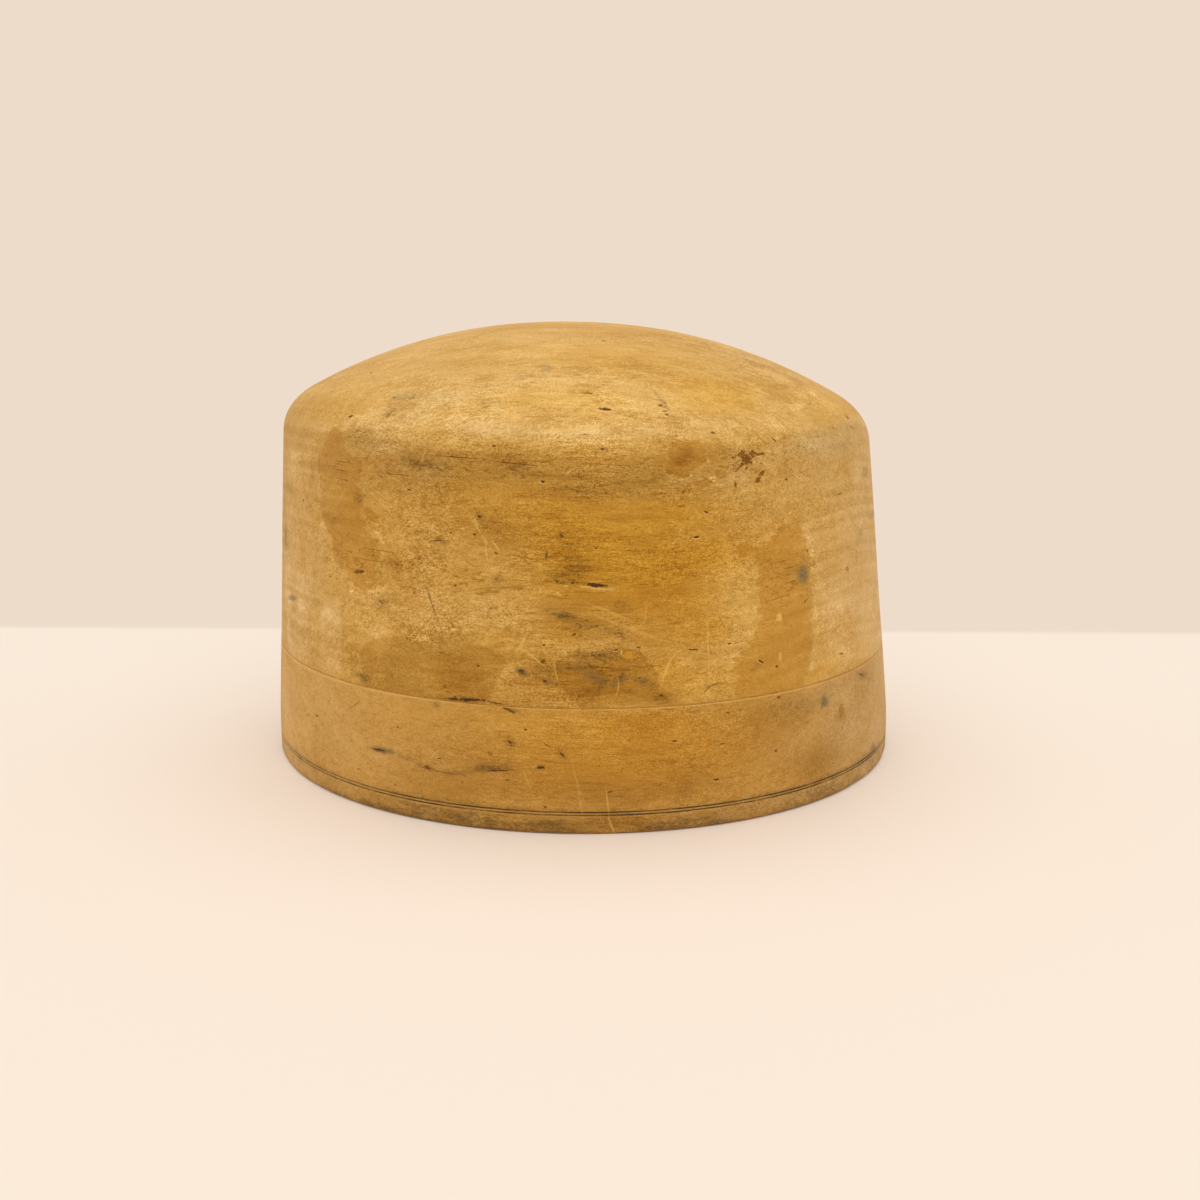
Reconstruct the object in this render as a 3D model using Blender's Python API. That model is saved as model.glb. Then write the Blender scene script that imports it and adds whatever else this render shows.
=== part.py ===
"""Hat block: a solid wooden crown block glued from a thick plank and a lower board.

The plan is a long oval. The sides stand upright at the base and lean in above it, least at the
front and most at the back, up to a soft shoulder and a domed top. Two fine lines scribed round
the base board mark where the hat's cord is tied. The base board is bored right through for the
spindle of a blocking stand, which seats on the plank's underside, and four hidden dowels keep
the two boards in register.

Metres, +Z up. The origin is the centre of the underside. The front of the hat is at -X.
"""

from math import cos, pi, radians, sin, sqrt

import bmesh
import bpy
from mathutils import Vector

# Driving dimensions of the oval and its sides
HALF_LENGTH = 0.0989
WIDTH_TO_LENGTH = 0.82
HALF_WIDTH = HALF_LENGTH * WIDTH_TO_LENGTH
COLLAR_HEIGHT = 0.0099
COLLAR_BLEND = 0.006
FRONT_RAKE = 0.0664
BACK_RAKE = 0.1225
SIDE_RAKE = 0.09

# Driving dimensions of the shoulder and the dome
FRONT_CORNER_HEIGHT = 0.1086
BACK_CORNER_HEIGHT = 0.1061
SHOULDER_DEPTH = 0.0077
DOME_HEIGHT = 0.1327
DOME_POWER = 2.18
APEX_FORWARD = 0.0053

# Driving dimensions of the boards, the cord line and the socket
BASE_BOARD_THICKNESS = 0.0354
SEAM_GAP = 0.0003
EDGE_EASE = 0.0008
CORD_LINE_HEIGHT = 0.00635
CORD_LINE_SPACING = 0.00085
SCRIBE_WIDTH = 0.0005
SCRIBE_DEPTH = 0.0004
SOCKET_RADIUS = 0.0127
SOCKET_CHAMFER = 0.0016

# Driving dimensions of the dowels
DOWEL_RADIUS = 0.00476
DOWEL_LENGTH = 0.0381
DOWEL_CHAMFER = 0.001
DOWEL_FIT_GAP = 0.0003
DOWEL_END_ROOM = 0.001
DOWEL_FROM_CENTRE = (0.054, 0.034)

# How finely the round forms are divided
AROUND = 96
WALL_STEPS = 6
SHOULDER_STEPS = 6
DOME_STEPS = 12
BORE_SIDES = 48
DOWEL_SIDES = 24
CUTTER_OVERRUN = 0.005

RING_ANGLES = [2 * pi * step / AROUND for step in range(AROUND)]


def clear_scene():
    for thing in list(bpy.data.objects):
        bpy.data.objects.remove(thing, do_unlink=True)


def wood(name, colour, roughness):
    """Bare or worn-varnished wood: no metal, so only its colour and roughness are set."""
    material = bpy.data.materials.new(name)
    material.use_nodes = True
    shader = material.node_tree.nodes["Principled BSDF"]
    shader.inputs["Base Color"].default_value = (*colour, 1.0)
    shader.inputs["Roughness"].default_value = roughness
    shader.inputs["Metallic"].default_value = 0.0
    return material


def side_point(angle, height, inset=0.0):
    """A point on the side. The oval is two half ellipses that share one width, and each
    half length shrinks by its own rake once the height has passed the upright collar."""
    over = height - COLLAR_HEIGHT
    rise = (over + sqrt(over * over + COLLAR_BLEND * COLLAR_BLEND)) / 2
    end_rake = FRONT_RAKE if cos(angle) < 0 else BACK_RAKE
    half_length = HALF_LENGTH - end_rake * rise - inset
    half_width = HALF_WIDTH - SIDE_RAKE * rise - inset
    return Vector((half_length * cos(angle), half_width * sin(angle), height))


def side_ring(height, inset=0.0):
    return [side_point(angle, height, inset) for angle in RING_ANGLES]


def corner_height(angle):
    """Height where side and dome would meet if the shoulder were sharp. It eases from the
    front's height to the back's."""
    towards_back = (1 + cos(angle)) / 2
    eased = towards_back * towards_back * (3 - 2 * towards_back)
    return FRONT_CORNER_HEIGHT + (BACK_CORNER_HEIGHT - FRONT_CORNER_HEIGHT) * eased


def dome_point(angle, reach):
    """A point on the dome, from the apex (reach 0) out to the sharp corner (reach 1)."""
    corner = side_point(angle, corner_height(angle))
    apex = Vector((-APEX_FORWARD, 0.0, DOME_HEIGHT))
    point = apex.lerp(corner, reach)
    point.z = DOME_HEIGHT - (DOME_HEIGHT - corner.z) * reach**DOME_POWER
    return point


def shoulder_reach(angle):
    """How far out the dome still runs before the shoulder's curve takes over."""
    corner = side_point(angle, corner_height(angle))
    across = sqrt((corner.x + APEX_FORWARD) ** 2 + corner.y**2)
    return 1 - 1.1 * SHOULDER_DEPTH / across


def shoulder_point(angle, along):
    """A point on the soft shoulder: a quadratic curve from the side over to the dome."""
    start = side_point(angle, corner_height(angle) - SHOULDER_DEPTH)
    corner = side_point(angle, corner_height(angle))
    end = dome_point(angle, shoulder_reach(angle))
    return start.lerp(corner, along).lerp(corner.lerp(end, along), along)


def place(name, mesh, location, material):
    """Links a mesh as a named object. Its vertices are in the world, so they move to the origin."""
    for vertex in mesh.vertices:
        vertex.co -= Vector(location)
    piece = bpy.data.objects.new(name, mesh)
    bpy.context.collection.objects.link(piece)
    piece.location = location
    if material:
        mesh.materials.append(material)
    mesh.shade_smooth()
    mesh.set_sharp_from_angle(angle=radians(32))
    return piece


def loft(name, rings, location, material, apex=None):
    """A closed skin through the rings from the bottom up, with a flat floor. The top closes on
    the apex, or flat where there is none."""
    form = bmesh.new()
    rows = [[form.verts.new(point) for point in ring] for ring in rings]
    for lower, upper in zip(rows, rows[1:]):
        for here in range(AROUND):
            beside = (here + 1) % AROUND
            form.faces.new((lower[here], lower[beside], upper[beside], upper[here]))
    form.faces.new(reversed(rows[0]))
    if apex:
        tip = form.verts.new(apex)
        for here in range(AROUND):
            form.faces.new((rows[-1][here], rows[-1][(here + 1) % AROUND], tip))
    else:
        form.faces.new(rows[-1])
    mesh = bpy.data.meshes.new(name)
    form.to_mesh(mesh)
    form.free()
    return place(name, mesh, location, material)


def turned(name, profile, sides, location, material=None):
    """A solid of revolution about the upright line through the location. The profile is a list
    of (radius, height) from the bottom to the top, and both ends are closed flat."""
    form = bmesh.new()
    rows = []
    for radius, height in profile:
        angles = [2 * pi * step / sides for step in range(sides)]
        ring = [Vector((radius * cos(angle), radius * sin(angle), height)) for angle in angles]
        rows.append([form.verts.new(point + Vector(location)) for point in ring])
    for lower, upper in zip(rows, rows[1:]):
        for here in range(sides):
            beside = (here + 1) % sides
            form.faces.new((lower[here], lower[beside], upper[beside], upper[here]))
    form.faces.new(reversed(rows[0]))
    form.faces.new(rows[-1])
    mesh = bpy.data.meshes.new(name)
    form.to_mesh(mesh)
    form.free()
    return place(name, mesh, location, material)


def cut(piece, cutter):
    """Takes the cutter's shape out of the piece and hides the cutter."""
    modifier = piece.modifiers.new("cut by " + cutter.name, "BOOLEAN")
    modifier.operation = "DIFFERENCE"
    modifier.solver = "EXACT"
    modifier.object = cutter
    cutter.hide_render = True
    cutter.display_type = "WIRE"


def make_base_board(material):
    """The lower board: eased bottom edge, two scribed cord lines, upright collar, first rake."""
    rings = [side_ring(0.0, EDGE_EASE), side_ring(EDGE_EASE)]
    for centre in (CORD_LINE_HEIGHT - CORD_LINE_SPACING, CORD_LINE_HEIGHT):
        rings.append(side_ring(centre - SCRIBE_WIDTH / 2))
        rings.append(side_ring(centre, SCRIBE_DEPTH))
        rings.append(side_ring(centre + SCRIBE_WIDTH / 2))
    top = BASE_BOARD_THICKNESS - SEAM_GAP / 2
    for step in range(WALL_STEPS + 1):
        rings.append(side_ring(COLLAR_HEIGHT + (top - COLLAR_HEIGHT) * step / WALL_STEPS))
    return loft("base_board", rings, (0.0, 0.0, 0.0), material)


def make_crown_block(material):
    """The thick upper plank: raked sides, soft shoulder, dome."""
    bottom = BASE_BOARD_THICKNESS + SEAM_GAP / 2
    rings = []
    for step in range(WALL_STEPS):
        ring = []
        for angle in RING_ANGLES:
            top = corner_height(angle) - SHOULDER_DEPTH
            ring.append(side_point(angle, bottom + (top - bottom) * step / WALL_STEPS))
        rings.append(ring)
    for step in range(SHOULDER_STEPS + 1):
        rings.append([shoulder_point(angle, step / SHOULDER_STEPS) for angle in RING_ANGLES])
    for step in range(DOME_STEPS - 1, 0, -1):
        share = step / DOME_STEPS
        rings.append([dome_point(angle, shoulder_reach(angle) * share) for angle in RING_ANGLES])
    apex = Vector((-APEX_FORWARD, 0.0, DOME_HEIGHT))
    return loft("crown_block", rings, (0.0, 0.0, bottom), material, apex)


def make_socket_cutter():
    """The spindle socket, 1 in across, with its chamfered mouth. It runs out of the board's top."""
    mouth = SOCKET_RADIUS + SOCKET_CHAMFER
    profile = [
        (mouth + CUTTER_OVERRUN, -CUTTER_OVERRUN),
        (SOCKET_RADIUS, SOCKET_CHAMFER),
        (SOCKET_RADIUS, BASE_BOARD_THICKNESS + CUTTER_OVERRUN),
    ]
    return turned("socket_cutter", profile, BORE_SIDES, (0.0, 0.0, 0.0))


def dowel_places():
    """Names and centres of the four dowels, two towards the front and two towards the back."""
    along, across = DOWEL_FROM_CENTRE
    for end, x in (("front", -along), ("back", along)):
        for side, y in (("left", -across), ("right", across)):
            yield f"{end}_{side}", (x, y, BASE_BOARD_THICKNESS)


def make_dowel(name, location, material):
    """A 3/8 in hardwood dowel, 1 1/2 in long, half in each board, its ends chamfered to start."""
    half = DOWEL_LENGTH / 2
    tip = DOWEL_RADIUS - DOWEL_CHAMFER
    profile = [
        (tip, -half),
        (DOWEL_RADIUS, DOWEL_CHAMFER - half),
        (DOWEL_RADIUS, half - DOWEL_CHAMFER),
        (tip, half),
    ]
    return turned("dowel_" + name, profile, DOWEL_SIDES, location, material)


def make_bore_cutter(name, location):
    radius = DOWEL_RADIUS + DOWEL_FIT_GAP
    half = DOWEL_LENGTH / 2 + DOWEL_END_ROOM
    return turned("bore_cutter_" + name, [(radius, -half), (radius, half)], DOWEL_SIDES, location)


clear_scene()

plank_wood = wood("plank wood", (0.56, 0.30, 0.085), 0.55)
board_wood = wood("board wood", (0.47, 0.235, 0.065), 0.6)
dowel_wood = wood("dowel wood", (0.62, 0.42, 0.23), 0.65)

base_board = make_base_board(board_wood)
crown_block = make_crown_block(plank_wood)

socket_cutter = make_socket_cutter()
cut(base_board, socket_cutter)

pieces = [base_board, crown_block, socket_cutter]
for place_name, centre in dowel_places():
    bore_cutter = make_bore_cutter(place_name, centre)
    cut(base_board, bore_cutter)
    cut(crown_block, bore_cutter)
    pieces += [bore_cutter, make_dowel(place_name, centre, dowel_wood)]

hat_block = bpy.data.objects.new("hat_block", None)
bpy.context.collection.objects.link(hat_block)
for piece in pieces:
    piece.parent = hat_block
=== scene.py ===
"""Looks of an old hat block: two glued boards of pale fruitwood, shaved to an oval crown, with
its varnish worn through, soot in the grain, dents, pinholes and pencil strokes. Metres, +Z up."""
import math

import bpy
import numpy as np
from mathutils import Matrix, Vector
from mathutils.geometry import delaunay_2d_cdt


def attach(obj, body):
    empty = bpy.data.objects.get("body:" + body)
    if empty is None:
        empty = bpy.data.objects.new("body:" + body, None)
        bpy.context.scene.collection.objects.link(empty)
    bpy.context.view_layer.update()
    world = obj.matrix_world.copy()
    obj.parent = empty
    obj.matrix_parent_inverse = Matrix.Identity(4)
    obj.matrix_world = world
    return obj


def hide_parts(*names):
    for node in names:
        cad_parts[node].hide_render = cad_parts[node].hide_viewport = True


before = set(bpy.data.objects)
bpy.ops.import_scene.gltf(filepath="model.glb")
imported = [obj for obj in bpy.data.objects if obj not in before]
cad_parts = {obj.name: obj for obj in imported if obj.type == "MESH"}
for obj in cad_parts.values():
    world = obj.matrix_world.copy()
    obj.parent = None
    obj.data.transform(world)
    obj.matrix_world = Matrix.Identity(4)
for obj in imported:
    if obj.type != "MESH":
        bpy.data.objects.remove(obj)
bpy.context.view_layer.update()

# Camera
# It looks at the block's long side from a little above, from 0.41 m away, level to a third of a
# degree. The lens sees 1200 by 1200 pixels of the photograph on a 36 mm wide frame.
CAMERA_PLACE = Vector((0.0050, -0.4070, 0.15474))
CAMERA_LOOKS_DOWN = 0.2647
CAMERA_LEANS = 0.0054
CAMERA_LENS_MM, CAMERA_FRAME_MM = 39.0, 36.0
NEAREST_SEEN = 0.01


def new_object(name, data):
    """A new object that shows this data, linked into the scene."""
    made = bpy.data.objects.new(name, data)
    bpy.context.collection.objects.link(made)
    return made


lens = bpy.data.cameras.new("camera")
lens.sensor_width = CAMERA_FRAME_MM
lens.lens = CAMERA_LENS_MM
lens.clip_start = NEAREST_SEEN
camera = new_object("camera", lens)
camera.matrix_world = (
    Matrix.Translation(CAMERA_PLACE)
    @ Matrix.Rotation(math.pi / 2 - CAMERA_LOOKS_DOWN, 4, "X")
    @ Matrix.Rotation(CAMERA_LEANS, 4, "Z")
)
bpy.context.scene.camera = camera

# Crown block
# The thick upper plank, sawn from a fine pale fruitwood with its grain along the block, then
# shaved to an oval that leans in to a soft shoulder and a domed top. Its old varnish has worn
# off in patches, and soot, glue and water have stained it.
MM = 0.001
HALF_LENGTH, HALF_WIDTH = 98.9 * MM, 81.1 * MM
COLLAR_HEIGHT, COLLAR_BLEND = 9.9 * MM, 6.0 * MM
FRONT_RAKE, BACK_RAKE, SIDE_RAKE = 0.0664, 0.1225, 0.09
FRONT_CORNER, BACK_CORNER = 108.6 * MM, 106.1 * MM
SHOULDER_DEPTH, SHOULDER_SPREAD = 7.7 * MM, 1.1
DOME_HEIGHT, DOME_POWER = 132.7 * MM, 2.18
APEX_X = -5.3 * MM
GLUE_LINE, GLUE_CLEARANCE = 35.4 * MM, 0.01 * MM
DOWEL_BORE_RADIUS, DOWEL_BORE_DEPTH = 5.06 * MM, 20.05 * MM
DOWEL_PLACES = [(x * MM, y * MM) for x in (-54.0, 54.0) for y in (-34.0, 34.0)]
CIRCLE_SIDES = 48
WELD_REACH, CREASE = 0.002 * MM, math.radians(35)

# Columns of the skins stand 0.7 mm apart on the long side with the placed marks, 2 mm elsewhere
near_side = np.linspace(-math.pi * 1.02, math.pi * 0.02, 440, endpoint=False)
far_side = np.linspace(math.pi * 0.02, math.pi * 0.98, 140, endpoint=False)
ANGLES = np.concatenate([near_side, far_side])


def side_surface(angle, height, inset=0.0):
    """Point on the leaning side. Once the height has passed the upright collar, softly over
    the blend, each half length of the oval shrinks by its own end's rake and its half width by
    the side's rake, times the rise. x and y are those halves times the angle's cosine and sine."""
    over = height - COLLAR_HEIGHT
    rise = (over + np.sqrt(over * over + COLLAR_BLEND * COLLAR_BLEND)) / 2
    end_rake = np.where(np.cos(angle) < 0, FRONT_RAKE, BACK_RAKE)
    x = (HALF_LENGTH - end_rake * rise - inset) * np.cos(angle)
    y = (HALF_WIDTH - SIDE_RAKE * rise - inset) * np.sin(angle)
    return np.stack([x, y, height + 0 * angle], axis=-1)


def corner_surface(angle):
    """Where side and dome would meet if sharp: its height eases from front to back."""
    towards_back = (1 + np.cos(angle)) / 2
    eased = towards_back**2 * (3 - 2 * towards_back)
    return side_surface(angle, FRONT_CORNER + (BACK_CORNER - FRONT_CORNER) * eased)


def dome_surface(angle, reach):
    """Point on the dome: straight out in plan from the apex to the corner by the reach, and
    down from the apex by the reach to the dome's power."""
    corner = corner_surface(angle)
    plan = [APEX_X, 0.0] + (corner[..., :2] - [APEX_X, 0.0]) * reach[..., None]
    height = DOME_HEIGHT - (DOME_HEIGHT - corner[..., 2]) * reach**DOME_POWER
    return np.concatenate([plan, height[..., None]], axis=-1)


def shoulder_reach(angle):
    """How far out the dome runs before the shoulder takes over: the shoulder's spread times
    its depth short of the corner."""
    corner = corner_surface(angle)
    return 1 - SHOULDER_SPREAD * SHOULDER_DEPTH / np.hypot(corner[..., 0] - APEX_X, corner[..., 1])


def shoulder_surface(angle, along):
    """Quadratic curve from the side, bent by the corner, to the dome."""
    corner = corner_surface(angle)
    start = side_surface(angle, corner[..., 2] - SHOULDER_DEPTH)
    end = dome_surface(angle, shoulder_reach(angle))
    along = along[..., None]
    return (1 - along) ** 2 * start + 2 * along * (1 - along) * corner + along**2 * end


def girth_of(angles):
    """Distance round the base in mm from the middle of the near side to each column, towards
    the back of the hat, and less than zero towards its front: the running sum of the oval's
    short chords, read off at each angle. It jumps only in the middle of the far side."""
    fine = np.linspace(-1.5 * math.pi, 0.5 * math.pi, 6001)
    steps = np.hypot(np.diff(HALF_LENGTH * np.cos(fine)), np.diff(HALF_WIDTH * np.sin(fine)))
    run = np.concatenate([[0.0], np.cumsum(steps)])
    folded = np.where(angles > math.pi / 2, angles - 2 * math.pi, angles)
    return (np.interp(folded, fine, run) - np.interp(-math.pi / 2, fine, run)) / MM


def pushed_in(points, depth):
    """The grid with each point moved inward along its normal by the depth. The normal is the
    cross product of the grid's slopes along its rows and up its columns."""
    around = np.roll(points, -1, axis=1) - np.roll(points, 1, axis=1)
    upward = np.gradient(points, axis=0)
    normal = np.cross(around, upward)
    normal /= np.linalg.norm(normal, axis=-1, keepdims=True)
    return points - normal * depth[..., None]


def ring_faces(rows, columns, first=0):
    """Four-cornered faces between the rows of a grid that closes on itself round its columns."""
    here = np.arange((rows - 1) * columns).reshape(rows - 1, columns)
    beside = np.roll(here, -1, axis=1)
    return np.stack([here, beside, beside + columns, here + columns], axis=-1).reshape(-1, 4) + first


def circle(centre, radius):
    """Points of a circle: the centre plus the radius times the angle's cosine and sine."""
    turn = np.arange(CIRCLE_SIDES) * 2 * math.pi / CIRCLE_SIDES
    return np.stack([centre[0] + radius * np.cos(turn), centre[1] + radius * np.sin(turn)], axis=-1)


def lifted(loop, height):
    """The points of a flat loop, at this height."""
    return np.column_stack([loop, np.full(len(loop), height)])


class Solid:
    """A closed board in the making: its skin first, then its flat ends and its bores."""

    def __init__(self):
        self.points, self.faces = [], []

    def add(self, points):
        """Takes more points, and gives the number of the first of them."""
        first = sum(len(block) for block in self.points)
        self.points.append(points)
        return first

    def skin(self, grid):
        """The outer skin, from a grid that closes on itself round its columns."""
        first = self.add(grid.reshape(-1, 3))
        self.faces += ring_faces(*grid.shape[:2], first).tolist()

    def flat(self, outline, holes, height, up):
        """Flat face inside the outline and outside the holes, cut into triangles. The corners
        are the loops' own points, so that welding closes the seams. A triangle lies in a hole
        if its middle is nearer to the hole's centre than the hole's rim."""
        loops = [outline] + holes
        first = self.add(np.concatenate([lifted(loop, height) for loop in loops]))
        corners = [Vector(point) for loop in loops for point in loop]
        rings, start = [], 0
        for loop in loops:
            rings.append(list(range(start, start + len(loop))))
            start += len(loop)
        edges = [(a, b) for ring in rings for a, b in zip(ring, ring[1:] + ring[:1])]
        inside_outline, same_point, nearly = 1, 1e-9, 0.999
        found = delaunay_2d_cdt(corners, edges, [], inside_outline, same_point)[2]
        triangles = np.array([face for face in found if len(face) == 3])
        flat = np.concatenate(loops)
        middle = flat[triangles].mean(axis=1)
        keep = np.ones(len(triangles), bool)
        for hole in holes:
            centre = hole.mean(axis=0)
            radius = np.linalg.norm(hole[0] - centre)
            keep &= np.linalg.norm(middle - centre, axis=1) > radius * nearly
        triangles = triangles[keep]
        a, b, c = (flat[triangles[:, k]] for k in range(3))
        turn = (b - a)[:, 0] * (c - a)[:, 1] - (b - a)[:, 1] * (c - a)[:, 0]
        wrong = (turn > 0) != up
        triangles[wrong] = triangles[wrong][:, ::-1]
        self.faces += (triangles + first).tolist()

    def bore(self, centre, profile, blind=False):
        """Wall of a bore from its mouth on, seen from inside: circles of the profile's (radius,
        height), and a flat end that faces the mouth where the bore is blind."""
        rings = [lifted(circle(centre, radius), height) for radius, height in profile]
        first = self.add(np.concatenate(rings))
        faces = ring_faces(len(profile), CIRCLE_SIDES, first)
        goes_up = profile[-1][1] > profile[0][1]
        self.faces += (faces[:, ::-1] if goes_up else faces).tolist()
        if blind:
            end = list(range(first + (len(profile) - 1) * CIRCLE_SIDES, first + len(profile) * CIRCLE_SIDES))
            self.faces.append(end[::-1] if goes_up else end)

    def dowel_bores(self, mouth, end):
        """The four blind bores for the dowels, from the glued face to their ends."""
        for place in DOWEL_PLACES:
            self.bore(place, [(DOWEL_BORE_RADIUS, mouth), (DOWEL_BORE_RADIUS, end)], blind=True)

    def finished(self, name, fields):
        """One mesh of it all, its seams welded. The skin's points carry the fields, three
        values each, and the other points carry zeros."""
        mesh = bpy.data.meshes.new(name)
        points = np.concatenate(self.points)
        mesh.from_pydata(points.tolist(), [], self.faces)
        for field, values in fields.items():
            whole = np.zeros((len(points), 3))
            whole[:len(self.points[0])] = values.reshape(-1, 3)
            layer = mesh.attributes.new(field, "FLOAT_VECTOR", "POINT")
            layer.data.foreach_set("vector", whole.ravel())
        piece = new_object(name, mesh)
        weld = piece.modifiers.new("weld the seams", "WELD")
        weld.merge_threshold = WELD_REACH
        mesh.shade_smooth()
        mesh.set_sharp_from_angle(angle=CREASE)
        return piece


# Skin of the crown block, row by row: side, shoulder, dome
side_steps = np.linspace(0.0, 1.0, 84, endpoint=False)[:, None]
shoulder_steps = np.linspace(0.0, 1.0, 16, endpoint=False)[:, None]
dome_steps = np.linspace(1.0, 0.0, 62, endpoint=False)[:, None]
around = ANGLES[None, :]
side_foot = GLUE_LINE + GLUE_CLEARANCE
side_top = corner_surface(around)[..., 2] - SHOULDER_DEPTH
crown_skin = np.concatenate([
    side_surface(around + 0 * side_steps, side_foot + (side_top - side_foot) * side_steps),
    shoulder_surface(around + 0 * shoulder_steps, shoulder_steps + 0 * around),
    dome_surface(around + 0 * dome_steps, shoulder_reach(around) * dome_steps),
])
crown_girth = np.broadcast_to(girth_of(ANGLES), crown_skin.shape[:2])
crown_x, crown_y, crown_height = np.moveaxis(crown_skin, -1, 0) / MM
wall_place, dome_place = (crown_girth, crown_height), (crown_x, crown_y)


def shaving(x, y, z):
    """Slow unevenness left by the spokeshave, 0 to 1: three crossing waves of 60 to 90 mm."""
    waves = np.sin(x / 13.7 + 2.1 * np.sin(z / 21.0)) + np.sin(z / 9.3 + x / 31.0)
    waves = waves + np.sin((y - z) / 11.9 + 0.7)
    return waves / 6 + 0.5


def cloud(x, y, middle_x, middle_y, half_x, half_y, tilt=0.0):
    """Soft round patch: falls from 1 at its middle by exp(-r^3), where r is 1 on its ellipse."""
    turn = math.radians(tilt)
    along = (x - middle_x) * math.cos(turn) + (y - middle_y) * math.sin(turn)
    across = (y - middle_y) * math.cos(turn) - (x - middle_x) * math.sin(turn)
    return np.exp(-np.hypot(along / half_x, across / half_y) ** 3)


def smudged(x, y, patches):
    """Sum of soft patches, each times its strength. A patch is (x, y, half length, half
    height, strength) in mm, and its tilt in degrees comes last where it has one."""
    total = 0
    for middle_x, middle_y, half_x, half_y, strength, *tilt in patches:
        total = total + strength * cloud(x, y, middle_x, middle_y, half_x, half_y, *tilt)
    return total


def patch(x, y, outline, blur=8.0):
    """Ramp across an outline: 0.5 on it, 1 well inside, 0 well outside. The distance to the
    nearest side of the outline is divided by the blur in mm, with its sign from even-odd
    crossings."""
    corners = np.array(outline, float)
    nearest = np.full(x.shape, 1e9)
    inside = np.zeros(x.shape, bool)
    for (ax, ay), (bx, by) in zip(corners, np.roll(corners, -1, axis=0)):
        length = (bx - ax) ** 2 + (by - ay) ** 2
        share = np.clip(((x - ax) * (bx - ax) + (y - ay) * (by - ay)) / length, 0, 1)
        nearest = np.minimum(nearest, np.hypot(x - ax - share * (bx - ax), y - ay - share * (by - ay)))
        if ay != by:
            inside ^= ((ay > y) != (by > y)) & (x < ax + (y - ay) * (bx - ax) / (by - ay))
    return np.clip(0.5 + np.where(inside, nearest, -nearest) / blur, 0, 1)


# The third coordinate of a marked spot is this plus the mark's strength. Marks of a second
# kind, such as smudges among the pencil strokes, have it added to their strength once more.
MARKED = 2.0


def marks(x, y, strokes, margin=1.7):
    """Own coordinates of small marks. A stroke is (x, y, half length, half width, tilt,
    strength, bend) in mm and degrees. A point within the margin of a mark gets u along it and
    v across it, both 1 at its rim, and MARKED plus its strength, from the mark whose rim is
    nearest; points near none get zeros. The margin grows along marks longer than itself."""
    layer = np.zeros(x.shape + (3,))
    nearest = np.full(x.shape, margin)
    for middle_x, middle_y, half_length, half_width, tilt, strength, *bend in strokes:
        turn = math.radians(tilt)
        along = (x - middle_x) * math.cos(turn) + (y - middle_y) * math.sin(turn)
        across = (y - middle_y) * math.cos(turn) - (x - middle_x) * math.sin(turn)
        across = across - (bend[0] if bend else 0.0) * (along / half_length) ** 2
        past_end = (np.abs(along) - half_length) / max(1.0, half_length / margin)
        gap = np.maximum(past_end, np.abs(across) - half_width)
        close = gap < nearest
        nearest[close] = gap[close]
        layer[close, 0] = along[close] / half_length
        layer[close, 1] = across[close] / half_width
        layer[close, 2] = MARKED + strength
    return layer


def eased(value, low, high):
    """Smooth step from 0 at the low limit to 1 at the high one."""
    share = np.clip((value - low) / (high - low), 0, 1)
    return share * share * (3 - 2 * share)


# The wall passes into the dome over the shoulder, and the near side into the far side. Towards
# the far side the first passing starts lower and ends higher. All in mm.
WALL_TOP = 107.0
DOME_FROM, DOME_TO, FAR_LOWER, FAR_HIGHER = 105.5, 108.5, 9, 4
FAR_SIDE_FROM, FAR_SIDE_TO = 124, 170
wall = crown_height < WALL_TOP
far_side_share = eased(np.abs(crown_girth), FAR_SIDE_FROM, FAR_SIDE_TO)
dome_share = eased(
    crown_height, DOME_FROM - FAR_LOWER * far_side_share, DOME_TO + FAR_HIGHER * far_side_share)


def on_skin(on_wall, on_dome):
    """The wall's value passing into the dome's value over the shoulder."""
    return on_wall + (on_dome - on_wall) * dome_share


def smudged_skin(wall_patches, dome_patches):
    """Soft patches of the wall and of the dome, passing into each other over the shoulder."""
    return on_skin(smudged(*wall_place, wall_patches), smudged(*dome_place, dome_patches))


def marked_skin(wall_marks, dome_marks, dome_margin=3.0):
    """The marks of the wall below the shoulder, and the marks of the dome above it."""
    on_wall, on_dome = marks(*wall_place, wall_marks), marks(*dome_place, dome_marks, dome_margin)
    return np.where(wall[..., None], on_wall, on_dome)


def field(*values):
    """Three values, each kept between 0 and 1, side by side at every point."""
    return np.clip(np.stack(np.broadcast_arrays(*values), axis=-1), 0, 1)


# Varnish that is left: on the wall in mm round the girth and up, on the dome in plan
left_varnish = [
    (-80, 106), (-76, 104), (-74, 101), (-70, 100), (-67, 97), (-69, 92), (-67, 88), (-68, 84),
    (-66, 80), (-62, 77), (-60, 72), (-62, 69), (-58, 66), (-64, 64), (-73, 64.5), (-75, 67),
    (-79, 70), (-80, 75), (-83, 79), (-86, 84), (-86, 90), (-88, 96), (-87, 100), (-84, 104)]
hook_varnish = [(-67, 85), (-64.5, 86), (-61, 83.5), (-62, 82.2), (-65, 82.6)]
right_varnish = [
    (52, 77), (56, 76.5), (59, 79), (62, 81), (67, 81.5), (70, 82.5), (72, 77), (73.5, 70), (74.5, 63),
    (73.5, 56), (73, 48), (71, 43), (70.5, 39), (68, 34), (46, 34), (44, 40), (45, 46), (50, 51),
    (53, 56), (53.5, 63), (53, 71)]
shoulder_varnish = [
    (25.5, 102), (28, 106), (33, 107), (37.5, 105), (37, 101), (33.5, 99), (29, 97.5), (26, 98.5)]
dome_varnish = [
    (46, -36), (50, -43), (58, -42), (63, -36), (62, -31), (66, -26), (68, -15), (63, -11), (60, -20),
    (55, -27), (50, -31)]
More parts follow.
